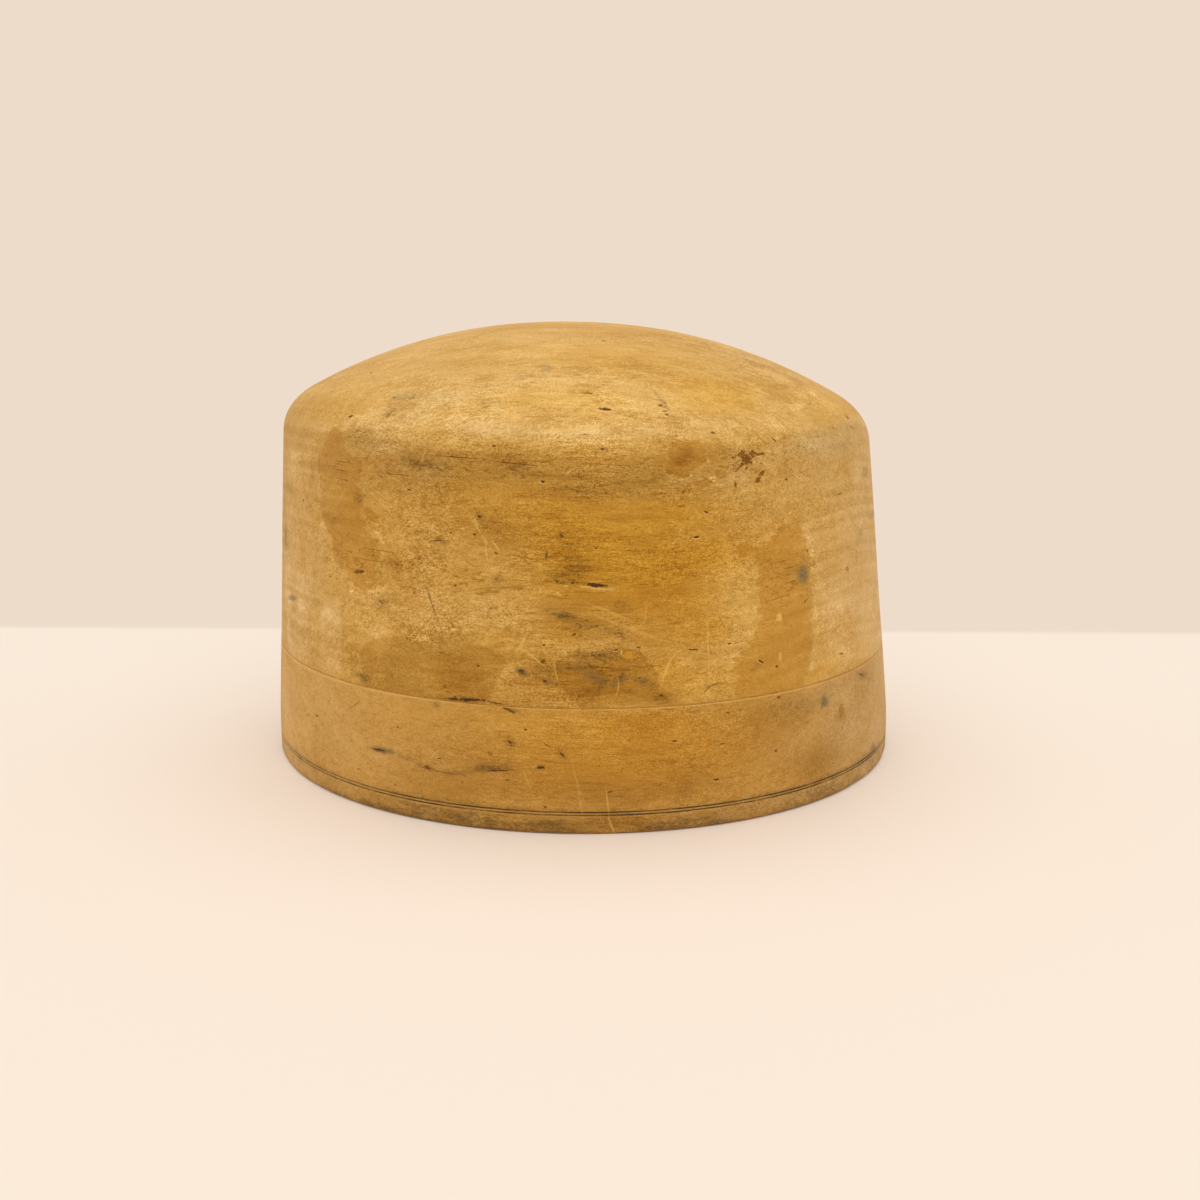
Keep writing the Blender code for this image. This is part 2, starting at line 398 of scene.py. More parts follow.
wall_varnish = np.maximum.reduce([
    patch(*wall_place, left_varnish),
    patch(*wall_place, hook_varnish, 5.0),
    patch(*wall_place, right_varnish),
    patch(*wall_place, shoulder_varnish, 6.0),
    0.8 * cloud(*wall_place, 36, 94.8, 3.6, 1.5, 8),
    0.75 * cloud(*wall_place, 49, 76.5, 3.6, 2.8),
])
# Worn patches of the far side, which come and go in slow waves
far_varnish = 0.5 + 0.28 * np.sin(crown_girth / 23.0 + 1.3 * np.sin(crown_height / 17.0))
wall_varnish = wall_varnish + 0.85 * np.clip(far_varnish, 0, 1) * far_side_share
varnish = on_skin(wall_varnish, 0.62 * patch(*dome_place, dome_varnish))

# Two pale upright patches with straight edges at the left, where tape has been
taped = np.maximum(
    patch(*wall_place, [(-85.5, 33), (-85.5, 56), (-75.5, 57.5), (-75.5, 33)], 1.8),
    0.6 * patch(*wall_place, [(-109, 33), (-109, 62), (-97, 66), (-97, 33)], 3.0))

# Brown stains with a rim, where water and glue have stood
low_left_stain = patch(*wall_place, [
    (-67, 34), (-66.5, 46), (-61, 51.5), (-50, 52.5), (-45, 50), (-41, 54), (-32, 53.5), (-24, 51),
    (-20.5, 48), (-23, 43), (-28, 34)])
low_middle_stain = patch(*wall_place, [
    (-8, 41), (-8, 50), (0, 52), (9, 52.5), (16, 50), (22, 45), (24, 40), (26, 36), (6, 37.5), (-3, 38)])
stain = on_skin(np.maximum.reduce([
    low_left_stain,
    0.45 * patch(*wall_place, [(-75, 34), (-75.5, 50), (-71, 53), (-66, 46), (-66, 34)], 6.0),
    0.9 * low_middle_stain,
    0.5 * patch(*wall_place, shoulder_varnish, 5.0),
]), 0)

# Soot and handling dirt
wall_soot = [
    (8, 45, 17, 6.5, 0.24, -8), (1, 48, 4, 1.3, 0.4, -22), (9.5, 56.3, 5, 1.2, 0.55, -20),
    (2, 55, 7, 1, 0.35, -20), (5, 44, 3, 1.4, 0.35, -30), (6, 41.6, 1.8, 1.2, 0.4),
    (11, 44, 1.6, 1.6, 0.4), (17, 43.5, 2.4, 1.8, 0.4), (19.5, 40.8, 2.2, 1.8, 0.45),
    (13.5, 40, 2, 1.1, 0.4), (5, 50, 6, 1.4, 0.45), (-3, 46.6, 3.4, 1, 0.4, -20),
    (22.5, 38.2, 2.4, 0.9, 0.5), (0, 46.8, 9, 0.6, 0.35), (-2, 76, 6, 7, 0.3), (-4, 71.5, 6, 2.6, 0.35),
    (-3, 59.8, 8, 1.8, 0.75, -18), (-42, 99, 22, 4, 0.35), (-42, 99, 6, 3, 0.15), (-17, 99, 7, 2.2, 0.3),
    (9, 95.5, 24, 4.5, 0.35), (-68, 105, 9, 3, 0.35), (50, 101, 14, 6, 0.25), (92, 104, 26, 5, 0.3),
    (-33.5, 36.3, 7.2, 0.9, 1, 3), (-22, 36, 4.4, 0.7, 0.7, -8), (-58, 61, 4, 2, 0.55, 20),
    (66, 68, 3, 3.4, 0.35), (-113.5, 70, 4.6, 4.2, 0.6, 10), (-106, 53.3, 4.5, 1, 0.65, 11),
    (-66, 38.2, 3, 1.2, 0.8), (-16.2, 45.3, 1.8, 1.1, 0.6, -32), (-12, 46.4, 4, 2.4, 0.35, -20),
    (52, 44, 2.4, 1, 0.5, 25), (-23.4, 69.3, 2.2, 1.2, 0.38), (12, 63, 3, 1.7, 0.4, -10),
    (10, 59, 4.4, 0.9, 0.35, -20), (9, 70, 3.4, 1.2, 0.35), (112.5, 91, 4.4, 1.8, 0.6),
    (103, 74, 3, 1.4, 0.3), (119, 77, 6, 1, 0.6, -3), (98, 90, 2, 1.2, 0.35), (90, 88, 3, 1, 0.3),
    (92.5, 66, 1.4, 1.2, 0.3), (-41, 79, 3.4, 0.9, 0.6, 4), (-28.4, 86, 1.7, 1.5, 0.6),
    (-9.6, 76.6, 0.8, 2, 0.5), (-5.4, 82, 1.6, 1.2, 0.5), (1.2, 93.6, 2.6, 0.8, 0.5),
    (87, 41.6, 3, 1, 0.3, -20), (-79, 80.5, 2.6, 1.1, 0.5, 15), (-69, 88, 1.8, 2.4, 0.4),
    (-112, 86, 5, 2.2, 0.35), (-91.5, 91, 1.4, 3.2, 0.35, -25), (38, 40, 4, 1, 0.25, 14)]
dome_soot = [
    (-48, -49.5, 4, 1.4, 0.55, -24), (-40, -53, 7, 2, 0.25, -14), (-25, -60, 3.4, 1.8, 0.45),
    (46, -16, 15, 8, 0.15, 20), (21.3, -57.5, 5.6, 0.8, 0.55, -60), (-52, -53.5, 2.2, 1, 0.5),
    (-18, -50, 3, 1.6, 0.25), (18, -33, 4, 2, 0.2), (62, -20, 3, 9, 0.15, 20)]
skin_fields = {"finish_left": field(varnish, stain, smudged_skin(wall_soot, dome_soot))}

# Worn zones: pale dry wood, deep amber wood, and wood that has been rubbed busy. The pale at both
# ends, along the shoulder ridge and over the whole dome is partly painted sheen.
pale_and_sheen_zones = [
    (-40, 66, 26, 15, 0.08), (86, 58, 13, 26, 0.38), (60, 92, 26, 10, 0.28), (-104, 70, 22, 60, 0.54),
    (118, 70, 26, 60, 0.84), (-66, 100, 30, 12, 0.12), (84, 103, 18, 4, 0.8), (74, 80, 4, 4, 0.3),
    (-56, 103, 6, 3, 0.2), (88, 96, 14, 5, 0.5), (-48, 96, 6, 4, 0.3), (-64, 103.5, 6, 3, 0.3),
    (-48, 102.5, 7, 4, 0.25), (-113, 56, 6, 12, 0.15)]
dome_pale_and_sheen = [
    (12, -12, 28, 7, 0.15), (51, -12, 8, 6, 0.3), (-16, -66, 18, 5, 0.15), (-68, -20, 10, 20, 0.15)]
amber_zones = [
    (12, 78, 30, 15, 0.85), (24, 64, 14, 14, 0.5), (-18, 90, 26, 8, 0.55), (-2, 76, 12, 8, 0.25),
    (44, 77, 9, 6, 0.4), (44, 62, 9, 12, 0.2), (30, 41, 26, 6, 0.5), (62, 62, 12, 26, 0.3),
    (4, 45, 20, 8, 0.25), (-18, 52, 14, 8, 0.2), (92, 94, 5, 2.6, 0.5), (74, 38, 8, 1.4, 0.5, 12),
    (-64, 84, 4, 2, 0.4), (36, 88, 22, 5, 0.45), (8, 79, 7, 5, 0.2), (-32, 71, 7, 5, 0.3),
    (2, 62, 13, 6, 0.3), (-4, 56, 8, 4, 0.3), (-72, 88, 4, 5, 0.3), (40, 55, 6, 4, 0.25),
    (24, 47, 5, 4, 0.4), (56, 95, 6, 4, 0.3), (80, 40, 6, 3, 0.3), (88, 46, 7, 10, 0.25),
    (-40, 70, 6, 5, 0.2), (2, 103, 8, 4, 0.2), (0, 76, 6, 5, 0.2), (-4, 68, 16, 4, 0.2),
    (34, 56, 9, 8, 0.3), (8, 45, 9, 5, 0.3), (-24, 52, 6, 5, 0.2), (-6, 44, 14, 5, 0.2),
    (-36, 43, 9, 5, 0.25), (34, 76, 6, 5, 0.2)]
dome_amber = [
    (36, -50, 16, 8, 0.7, 25), (12, -40, 30, 10, 0.5), (72, -26, 10, 22, 0.4, -30),
    (-70, -32, 12, 22, 0.35, 32), (-40, -62, 22, 4, 0.3, 8), (52, -36, 10, 6, 0.3, 30),
    (-4, -61, 24, 8, 0.6), (26, 10, 56, 26, 0.42)]
busy_zones = [
    (0, 72, 74, 70, 0.45), (-36, 72, 26, 26, 0.3), (0, 46, 24, 9, 0.6), (-46, 44, 20, 10, 0.35),
    (-18, 52, 12, 6, 0.4), (15, 95, 20, 6, 0.3), (-102, 80, 16, 26, -0.12), (-10, 104, 60, 7, 0.35),
    (62, 58, 12, 22, -0.14), (72, 40, 20, 6, -0.12), (44, 60, 9, 14, -0.12)]
dome_busy = [(-8, -66, 62, 20, 0.4), (48, -18, 22, 14, 0.8)]
# Partly painted sheen: the pale at both ends, along the shoulder ridge and over the whole dome
pale = on_skin(
    smudged(*wall_place, pale_and_sheen_zones) + 0.25 * taped, 0.39 + smudged(*dome_place, dome_pale_and_sheen))
busy = on_skin(
    0.30 + smudged(*wall_place, busy_zones) + 0.15 * far_side_share, 0.34 + smudged(*dome_place, dome_busy))
busy = busy * (1 - 0.55 * np.clip(varnish * 1.6 - 0.5, 0, 1))
skin_fields["wear_and_sheen"] = field(pale, smudged_skin(amber_zones, dome_amber), busy)

# Lighter and darker zones, and where crisp pale flecks and hairlines show. The lighter tone at both
# ends is partly painted sheen, and the flecks along the shoulder ridge are partly a painted highlight.
tone_and_sheen_zones = [
    (44, 64, 9, 15, 0.3), (62, 60, 11, 24, 0.23), (38, 42, 24, 6, 0.2), (86, 58, 12, 26, 0.12),
    (118, 70, 22, 50, 0.14), (-104, 70, 18, 50, 0.03), (97, 93, 4, 6, -0.14), (-22, 88, 24, 8, -0.1),
    (-1, 76, 9, 7, -0.13), (-10, 98, 60, 6.5, -0.14), (-40, 98, 24, 6, -0.1), (24, 102, 22, 3, -0.06),
    (-5, 108.5, 70, 3, -0.09), (-66, 73, 6, 8, 0.08), (12, 76, 20, 10, 0.02), (-40, 68, 22, 12, -0.02),
    (78, 38.6, 8, 0.9, 0.22, 16), (94, 39.5, 8, 0.9, 0.18, -12), (84, 56, 12, 1.6, 0.1),
    (-96, 93, 7, 4, -0.12), (-112, 86, 7, 2.4, -0.14, 4), (-103, 100, 4, 2, -0.12),
    (-92, 47, 1.7, 11, -0.1), (-75, 45, 1.2, 9, -0.14), (-109, 47, 3, 12, 0.1),
    (-88, 80, 2.2, 4, 0.1, 20), (-98, 68, 9, 3, -0.08, 38), (-36, 46, 7, 7, -0.05), (-52, 44, 8, 5, 0.04),
    (-59, 51, 2.4, 2.4, 0.14), (92, 94, 5, 2.8, -0.04), (-80, 103, 5, 3, -0.15), (-48, 102.5, 6, 4, -0.2),
    (-18, 103, 9, 4, -0.24), (12, 103, 7, 4, 0.15), (33, 103, 5, 4, 0.08), (48, 103, 4, 3, 0.1),
    (84, 103, 14, 4, 0.18), (64, 96, 5, 4, -0.12, 20), (-106, 96, 6, 5, 0.12), (-88, 95, 4, 4, -0.14),
    (-95, 87, 8, 5, -0.2, 15), (36, 88, 22, 5, -0.05), (114, 92, 8, 13, -0.19), (-89, 80, 5, 5, -0.18),
    (-19, 80, 7, 5, -0.13, -10), (74, 79, 4, 5, 0.12), (8, 79, 6, 4, 0.08), (-72, 71, 5, 4, 0.14),
    (-50, 71, 7, 5, -0.2), (-16, 71, 6, 5, -0.2), (30, 68, 8, 7, 0.1), (96, 71, 11, 4, -0.1, -8),
    (-112, 60, 6, 14, 0.2), (-72, 64, 11, 5, 0.17), (2, 63, 12, 5, -0.17, -10), (-80, 57, 5, 3, 0.25),
    (-66, 56, 6, 4, 0.14), (-4, 56, 8, 4, -0.23, -10), (51, 55, 8, 5, 0.18), (72, 55, 3, 5, 0.11),
    (-104, 48, 4, 6, -0.2), (-10, 45.5, 7, 5, -0.46), (48, 47, 5, 5, 0.12), (105, 45, 12, 9, 0.17),
    (-32, 40, 9, 3.5, -0.12), (2, 39, 18, 3.6, -0.25), (72, 40, 11, 3, -0.1), (-64, 40, 4, 4, 0.12),
    (-19, 51, 8, 4, -0.14), (-55, 71, 5, 5, -0.12), (-16, 63, 4, 4, 0.1), (8, 54.5, 5, 3, 0.12, -20),
    (-88, 40, 4, 4, -0.14), (25, 39, 4, 4, -0.14), (-105, 87, 4, 5, -0.13), (57, 88, 4, 4, -0.1),
    (40, 103, 4, 3, -0.1), (6, 100, 5, 3, 0.14), (-48, 100, 11, 3, -0.12), (-88, 84, 4, 4, -0.14),
    (-24, 84, 4, 4, -0.16), (72, 76, 4, 4, 0.13), (-64, 61, 4, 4, 0.13), (32, 52, 6, 4, 0.12),
    (-56, 44, 4, 4, -0.14), (-35, 44, 7, 4, -0.12), (0, 46, 5, 5, -0.16), (-26, 52, 5, 4, -0.08),
    (49, 37.5, 5, 3, 0.12), (-80, 55, 5, 3, 0.14), (6, 45, 6, 4, -0.06), (24, 37, 5, 3, -0.1),
    (72, 84, 4, 4, 0.05)]
dome_tones = [
    (-34, -60, 26, 4, 0.1, 6), (6, -62, 20, 2.4, 0.08), (20, -34, 16, 5, 0.08), (-58, -30, 12, 20, 0.04),
    (46, -16, 16, 9, -0.17, 15), (54, -38, 12, 7, 0.04), (69, -26, 7, 12, 0.12, -30),
    (-4, -12, 30, 10, -0.04), (34, -50, 16, 9, 0.12, 20), (-8, -34, 5, 1.8, 0.1),
    (6, -50, 7, 0.8, 0.14, 3), (-57, -27, 1.8, 1.8, 0.2), (58, -34, 7, 1.4, 0.14, 25),
    (-30, -45, 12, 2, 0.06), (-16, -58, 6, 4, -0.18), (-6, -60, 12, 5, -0.08),
    (46, -30, 20, 6, -0.17, -5), (12, -12, 26, 6, -0.13), (-20, -11, 16, 6, -0.15),
    (-50, -22, 11, 5, 0.16), (56, -52, 9, 5, 0.2, 30), (-60, -50, 6, 5, 0.2, 30), (-8, 2, 10, 6, 0.16),
    (26, 10, 50, 22, 0.08), (51, -12, 7, 5, 0.14), (1, -69.5, 11, 3, 0.3), (-24, -64, 7, 5, 0.12),
    (-37, -63, 5, 3, 0.15)]
fleck_and_highlight_zones = [
    (-8, 107.5, 74, 4, 0.9), (-46, 100, 16, 6, 0.6), (-18, 92, 30, 7, 0.35), (-42, 66, 30, 14, 0.6),
    (-12, 52, 16, 8, 0.8), (55, 97, 14, 8, 0.6), (-56, 80, 8, 20, 0.5), (44, 62, 8, 14, 0.2),
    (82, 50, 10, 12, 0.6), (10, 40, 40, 4, 0.4), (2, 45, 18, 7, 0.5), (-46, 43, 17, 7, 0.35),
    (-100, 78, 16, 30, 0.5), (-92, 46, 24, 12, 0.5), (-88, 80, 3.5, 6, 0.9, 20), (-60, 50, 5, 6, 0.8),
    (104, 84, 16, 18, 0.2)]
dome_flecks = [(-10, -62, 66, 20, 0.6), (46, -20, 20, 14, 0.6)]
hairline_zones = [
    (-64, 73, 24, 6, 0.5, -4), (-38, 69, 22, 6, 0.5), (-72, 95, 16, 5, 0.6), (4, 47, 16, 5, 0.8),
    (66, 67, 14, 8, 0.5, 10), (4, 60, 16, 5, 0.4, -8), (-4, 98, 50, 5, 0.5), (36, 64, 10, 16, 0.3),
    (-14, 74, 56, 26, 0.28), (2, 44, 20, 7, 0.3)]
# Partly painted light: lighter tone at both ends as sheen, flecks along the shoulder ridge as highlight
tone = 0.5 + on_skin(smudged(*wall_place, tone_and_sheen_zones) + 0.09 * taped, smudged(*dome_place, dome_tones))
flecks = on_skin(0.16 + smudged(*wall_place, fleck_and_highlight_zones), 0.36 + smudged(*dome_place, dome_flecks))
flecks = flecks * (1 - 0.8 * np.clip(varnish * 1.6 - 0.4, 0, 1))
hairlines = on_skin(0.22 + smudged(*wall_place, hairline_zones), 0.2)
skin_fields["shade"] = field(tone, flecks, hairlines)

# Small dark marks: pits, cracks, the spatter near the right shoulder, dark lines of the grain
wall_pits = [
    (4.4, 68.9, 3.4, 0.6, -6, 0.95), (-68.8, 67.7, 1.5, 0.7, 8, 0.55), (-67, 68, 0.9, 0.5, 10, 0.9),
    (33.8, 80.9, 0.85, 0.35, 0, 1), (37.2, 87.3, 0.6, 0.3, -20, 0.9), (15.8, 83.6, 0.6, 0.2, 0, 0.7),
    (-10.7, 96, 0.6, 0.3, -15, 0.95), (-50.6, 92, 0.8, 0.25, -15, 0.9), (-41, 79.1, 1.9, 0.22, 5, 0.5),
    (-5.4, 82, 0.7, 0.3, -30, 0.7), (4.2, 78.7, 0.4, 0.25, 0, 1), (-9.6, 76.6, 1.6, 0.22, 80, 0.8),
    (-2, 55.7, 0.7, 0.3, 20, 0.7), (-10.2, 52.7, 0.5, 0.25, 0, 0.9), (9.8, 51.5, 0.55, 0.25, 5, 0.9),
    (16.2, 52, 0.7, 0.2, -10, 0.9), (31.4, 50.7, 0.7, 0.28, -4, 0.8), (33, 50.6, 0.4, 0.25, 0, 0.8),
    (43.4, 51.3, 0.5, 0.28, 10, 1), (53.4, 45.2, 1.1, 0.3, -35, 0.9), (-28.6, 46.1, 0.55, 0.3, -20, 0.8),
    (-35.6, 67.4, 0.5, 0.3, 0, 0.8), (-16.4, 45.4, 1.3, 0.65, -32, 0.42), (-9.8, 43, 0.5, 0.4, 10, 0.7),
    (-10.3, 48.3, 0.8, 0.5, 30, 0.6), (5.6, 45.9, 0.8, 0.3, 15, 0.6), (-30, 81.5, 0.4, 0.25, 0, 0.8),
    (42.6, 73.3, 0.6, 0.2, -20, 0.6), (26.5, 78, 0.45, 0.2, 0, 0.7), (-23.8, 76.8, 0.6, 0.3, -10, 0.7),
    (-51, 82.2, 0.8, 0.22, 15, 0.7), (-37, 81.4, 0.4, 0.2, 0, 0.6), (-28.6, 86.2, 0.6, 0.4, 0, 0.6),
    (-4, 66.2, 0.35, 0.2, 0, 0.6), (-6.6, 69.8, 0.4, 0.3, 0, 0.7), (-2.4, 69.6, 0.5, 0.3, 0, 0.7),
    (-24.8, 104.7, 0.9, 0.28, 0, 0.7), (51.2, 100.6, 1.7, 1.5, 50, 0.62), (50, 102.2, 1.2, 0.7, 10, 0.6),
    (52.6, 99.7, 0.5, 0.5, 0, 0.5), (49.2, 99.2, 0.9, 0.5, 40, 0.5), (47.3, 97.7, 0.5, 0.35, 40, 0.4),
    (50.6, 98, 0.35, 0.3, 0, 0.45), (48.3, 101.6, 0.4, 0.3, 0, 0.4), (46.9, 94, 0.6, 0.9, 0, 0.5),
    (54.8, 94.7, 1.2, 0.7, 0, 0.55), (56.2, 96.6, 1.4, 0.5, 30, 0.55), (55.8, 101.6, 2.2, 0.4, 4, 0.55),
    (53.6, 102.3, 0.9, 0.5, 20, 0.6), (46.6, 101.2, 0.6, 0.4, 0, 0.45), (29.4, 89.3, 1.4, 0.4, 0, 0.32),
    (86.6, 41.7, 1.2, 0.3, -15, 0.6), (22.4, 38.6, 0.7, 0.4, 0, 0.5), (63, 104.9, 0.9, 0.35, -45, 0.6),
    (65.5, 94.2, 0.6, 0.25, -20, 0.6), (30.2, 93, 0.5, 0.3, 0, 0.6), (-38.5, 39.4, 0.9, 0.3, 0, 0.4),
    (92.3, 65.6, 1.2, 0.8, -20, 0.3), (90.4, 87.6, 1.8, 0.3, 5, 0.45), (-37, 36, 3, 0.4, 5, 0.7),
    (-31, 36.6, 4.2, 0.45, 3, 0.75), (-23, 36.1, 3.6, 0.28, -9, 0.65), (-36, 101.5, 9, 0.14, -1, 0.5),
    (-19, 100.5, 8, 0.14, -4, 0.5), (-54, 95.8, 9, 0.12, 0, 0.45), (-76, 97.4, 4, 0.12, 0, 0.45),
    (-76.5, 95, 4.4, 0.12, 0, 0.45), (-76, 92.6, 3.6, 0.12, -2, 0.4), (-66, 71.5, 7, 0.12, 0, 0.4),
    (-60, 74.6, 8, 0.12, 0, 0.4), (84, 78.9, 9, 0.2, -4, 0.16), (84, 72.2, 9, 0.24, -3, 0.2),
    (99, 69.7, 7, 0.24, -22, 0.2), (85, 63.2, 8, 0.2, 2, 0.16), (37.5, 40.2, 3.4, 0.3, 22, 0.4, -0.8),
    (61.5, 72, 4, 0.12, 4, 0.35), (65.5, 70, 2.6, 0.12, 4, 0.5), (65.5, 66, 2.6, 0.12, 4, 0.5),
    (60, 62, 5, 0.12, 9, 0.4), (71, 59.8, 1.6, 0.25, 30, 0.45)]
dome_pits = [
    (6, -63, 1.8, 0.55, -3, 0.9), (1.5, -57.5, 1.5, 0.3, 0, 0.6), (-64, -48, 0.8, 0.4, -30, 0.7),
    (20.8, -59.2, 0.8, 0.6, 0, 0.6), (22.4, -62, 0.6, 0.4, 0, 0.55), (-52.6, -54.4, 1, 0.6, 0, 0.35),
    (-25.4, -60.6, 1.4, 0.5, 5, 0.35), (-51.8, -48.4, 0.6, 0.35, -40, 0.5), (1, -70, 1.8, 0.5, 0, 0.4),
    (77, -27, 1, 0.8, 0, 0.45), (63, -39, 1, 0.3, 10, 0.3), (-12, -30, 1.5, 0.25, 2, 0.3),
    (30, -6, 1, 0.25, 0, 0.35), (-35, 20, 1.2, 0.3, 8, 0.6), (12, 38, 1.8, 0.35, -5, 0.7),
    (52, 24, 0.9, 0.4, 0, 0.6), (-60, 8, 0.8, 0.35, 0, 0.6)]
skin_fields["pits"] = marked_skin(wall_pits, dome_pits)

# Pale scratches, and yellow drips as the second kind
wall_scratches = [
    (-29.4, 83.4, 2.4, 0.3, -50, 0.65), (-27.4, 80.4, 1.2, 0.25, -66, 0.5),
    (-26.6, 76.8, 2.8, 0.3, -84, 0.7, 0.5), (-23.8, 78.8, 2.2, 0.25, -52, 0.8),
    (24.4, 46.3, 4.4, 0.5, 64, 0.7, -0.5), (36.7, 51.5, 10, 0.3, 90, 0.5), (18.4, 61, 3.2, 0.25, 84, 0.5),
    (13.6, 50, 1.7, 1.2, 0, 2.75), (60.6, 56.6, 1.1, 1.3, 0, 1), (57.5, 55.9, 3.2, 0.3, 0, 0.5),
    (60.3, 45.6, 0.6, 1.5, 0, 0.7), (36, 39.4, 2.4, 0.3, 18, 0.4), (-12.8, 49.2, 3.6, 0.35, -38, 0.7),
    (-7, 45.8, 3.6, 0.3, -78, 0.55, 0.4), (-16.6, 52.4, 1.8, 0.5, 55, 0.8),
    (-15, 55.2, 1.6, 0.3, 60, 0.6), (-29.6, 85, 1.5, 0.3, -60, 0.7), (-33.5, 69.5, 1.6, 0.22, 30, 0.5),
    (-60.5, 55.5, 2.4, 0.25, 70, 0.4), (82, 48, 4, 0.3, 0, 0.3), (8, 61.8, 8, 0.5, -22, 0.45),
    (12, 58, 9, 0.45, -20, 0.45), (5, 53.6, 6, 0.4, -22, 0.35), (22, 54, 6, 0.3, -14, 0.3),
    (10.4, 41, 3, 0.25, 82, 0.5, 0.6), (-36, 73.3, 26, 0.12, 0, 0.35), (-3.6, 98.4, 1.6, 0.25, 42, 0.7),
    (98.6, 96, 7, 0.3, 90, 0.3), (101, 91, 7, 0.2, 88, 0.25), (86, 57, 9, 0.25, 0, 0.4),
    (84, 59, 8, 0.2, 2, 0.35), (-46, 101, 2, 0.22, 70, 0.5), (-50, 103.4, 1.6, 0.22, -75, 0.5),
    (85, 42.6, 1, 0.5, 0, 0.6), (-86, 78, 2, 0.8, 60, 0.5)]
dome_scratches = [
    (-23, -57, 4, 0.7, -10, 0.7), (-12, -57.6, 3.5, 0.5, 0, 0.7), (-6, -57.6, 2.5, 0.4, 0, 0.6),
    (-17.5, -65, 1.6, 1.2, -45, 0.7), (-20, -64, 1, 0.8, -40, 0.5), (-6.5, -68.8, 3.2, 0.5, 0, 0.8),
    (-1.5, -69, 2, 0.5, 0, 0.7), (-33, -58.4, 2.4, 0.5, -10, 0.5), (6, -50, 5, 0.35, 3, 0.6),
    (-15, -52, 3, 0.3, 0, 0.5), (10, -57.4, 3, 0.3, 5, 0.4), (14, -62.4, 3, 0.3, 0, 0.4),
    (28, -58, 2.6, 0.4, -5, 0.35), (-43, -61.5, 3, 0.5, -12, 0.4), (-56, -54, 2, 0.5, -25, 0.35),
    (27.3, -33.4, 0.35, 0.9, 0, 0.8)]
skin_fields["scratches"] = marked_skin(wall_scratches, dome_scratches, 2.5)

# Red-brown pencil, and cool grey smudges as the second kind
wall_coloured = [
    (-44.3, 65.7, 1.4, 0.26, -58, 0.9), (-43.2, 63.1, 1.7, 0.3, -68, 1),
    (-42.1, 60.4, 1.2, 0.26, -66, 0.9), (-40.3, 56.6, 1.8, 0.26, -66, 0.5), (70.6, 67.4, 2.3, 2.8, 0, 3),
    (-9, 42.6, 1.5, 0.9, 0, 2.55), (-106, 53.3, 4, 0.8, 11, 2.65), (4, 43.8, 3.2, 1.2, -28, 2.5),
    (9.2, 42.4, 1.7, 1, 0, 2.5), (12.6, 44, 1.2, 0.9, 0, 2.5), (0.6, 46.2, 1.9, 0.8, -30, 2.4),
    (17.4, 43, 1.7, 1.2, 0, 2.35), (-16.4, 45.3, 1.9, 1.1, -32, 2.6)]
dome_coloured = [
    (-10, -46.5, 1.7, 2, 0, 2.45), (-17, -51, 1.6, 1, 0, 2.35), (-50, -49.6, 2.2, 1.3, -20, 2.3)]
skin_fields["coloured"] = marked_skin(wall_coloured, dome_coloured)

# The spokeshave's dents grow above the glue line, where the boards are dented alike and flush
above_glue = np.exp(-(crown_height - GLUE_LINE / MM) / 6.0)
crown_dents = MM * (0.16 - 0.06 * above_glue) * shaving(crown_x, crown_y, crown_height)
APEX_DENT = 0.08 * MM
crown_skin = pushed_in(crown_skin, crown_dents)
crown_skin[0, :, 2] = side_foot

crown = Solid()
crown.skin(crown_skin)
rows, columns = crown_skin.shape[:2]
apex = crown.add(np.array([[APEX_X, 0.0, DOME_HEIGHT - APEX_DENT]]))
top_ring = (rows - 1) * columns
crown.faces += [(top_ring + k, top_ring + (k + 1) % columns, apex) for k in range(columns)]
dowel_mouths = [circle(place, DOWEL_BORE_RADIUS) for place in DOWEL_PLACES]
crown.flat(crown_skin[0, :, :2], dowel_mouths, side_foot, up=False)
crown.dowel_bores(side_foot, GLUE_LINE + DOWEL_BORE_DEPTH)
worn_crown = crown.finished("worn_crown", skin_fields)


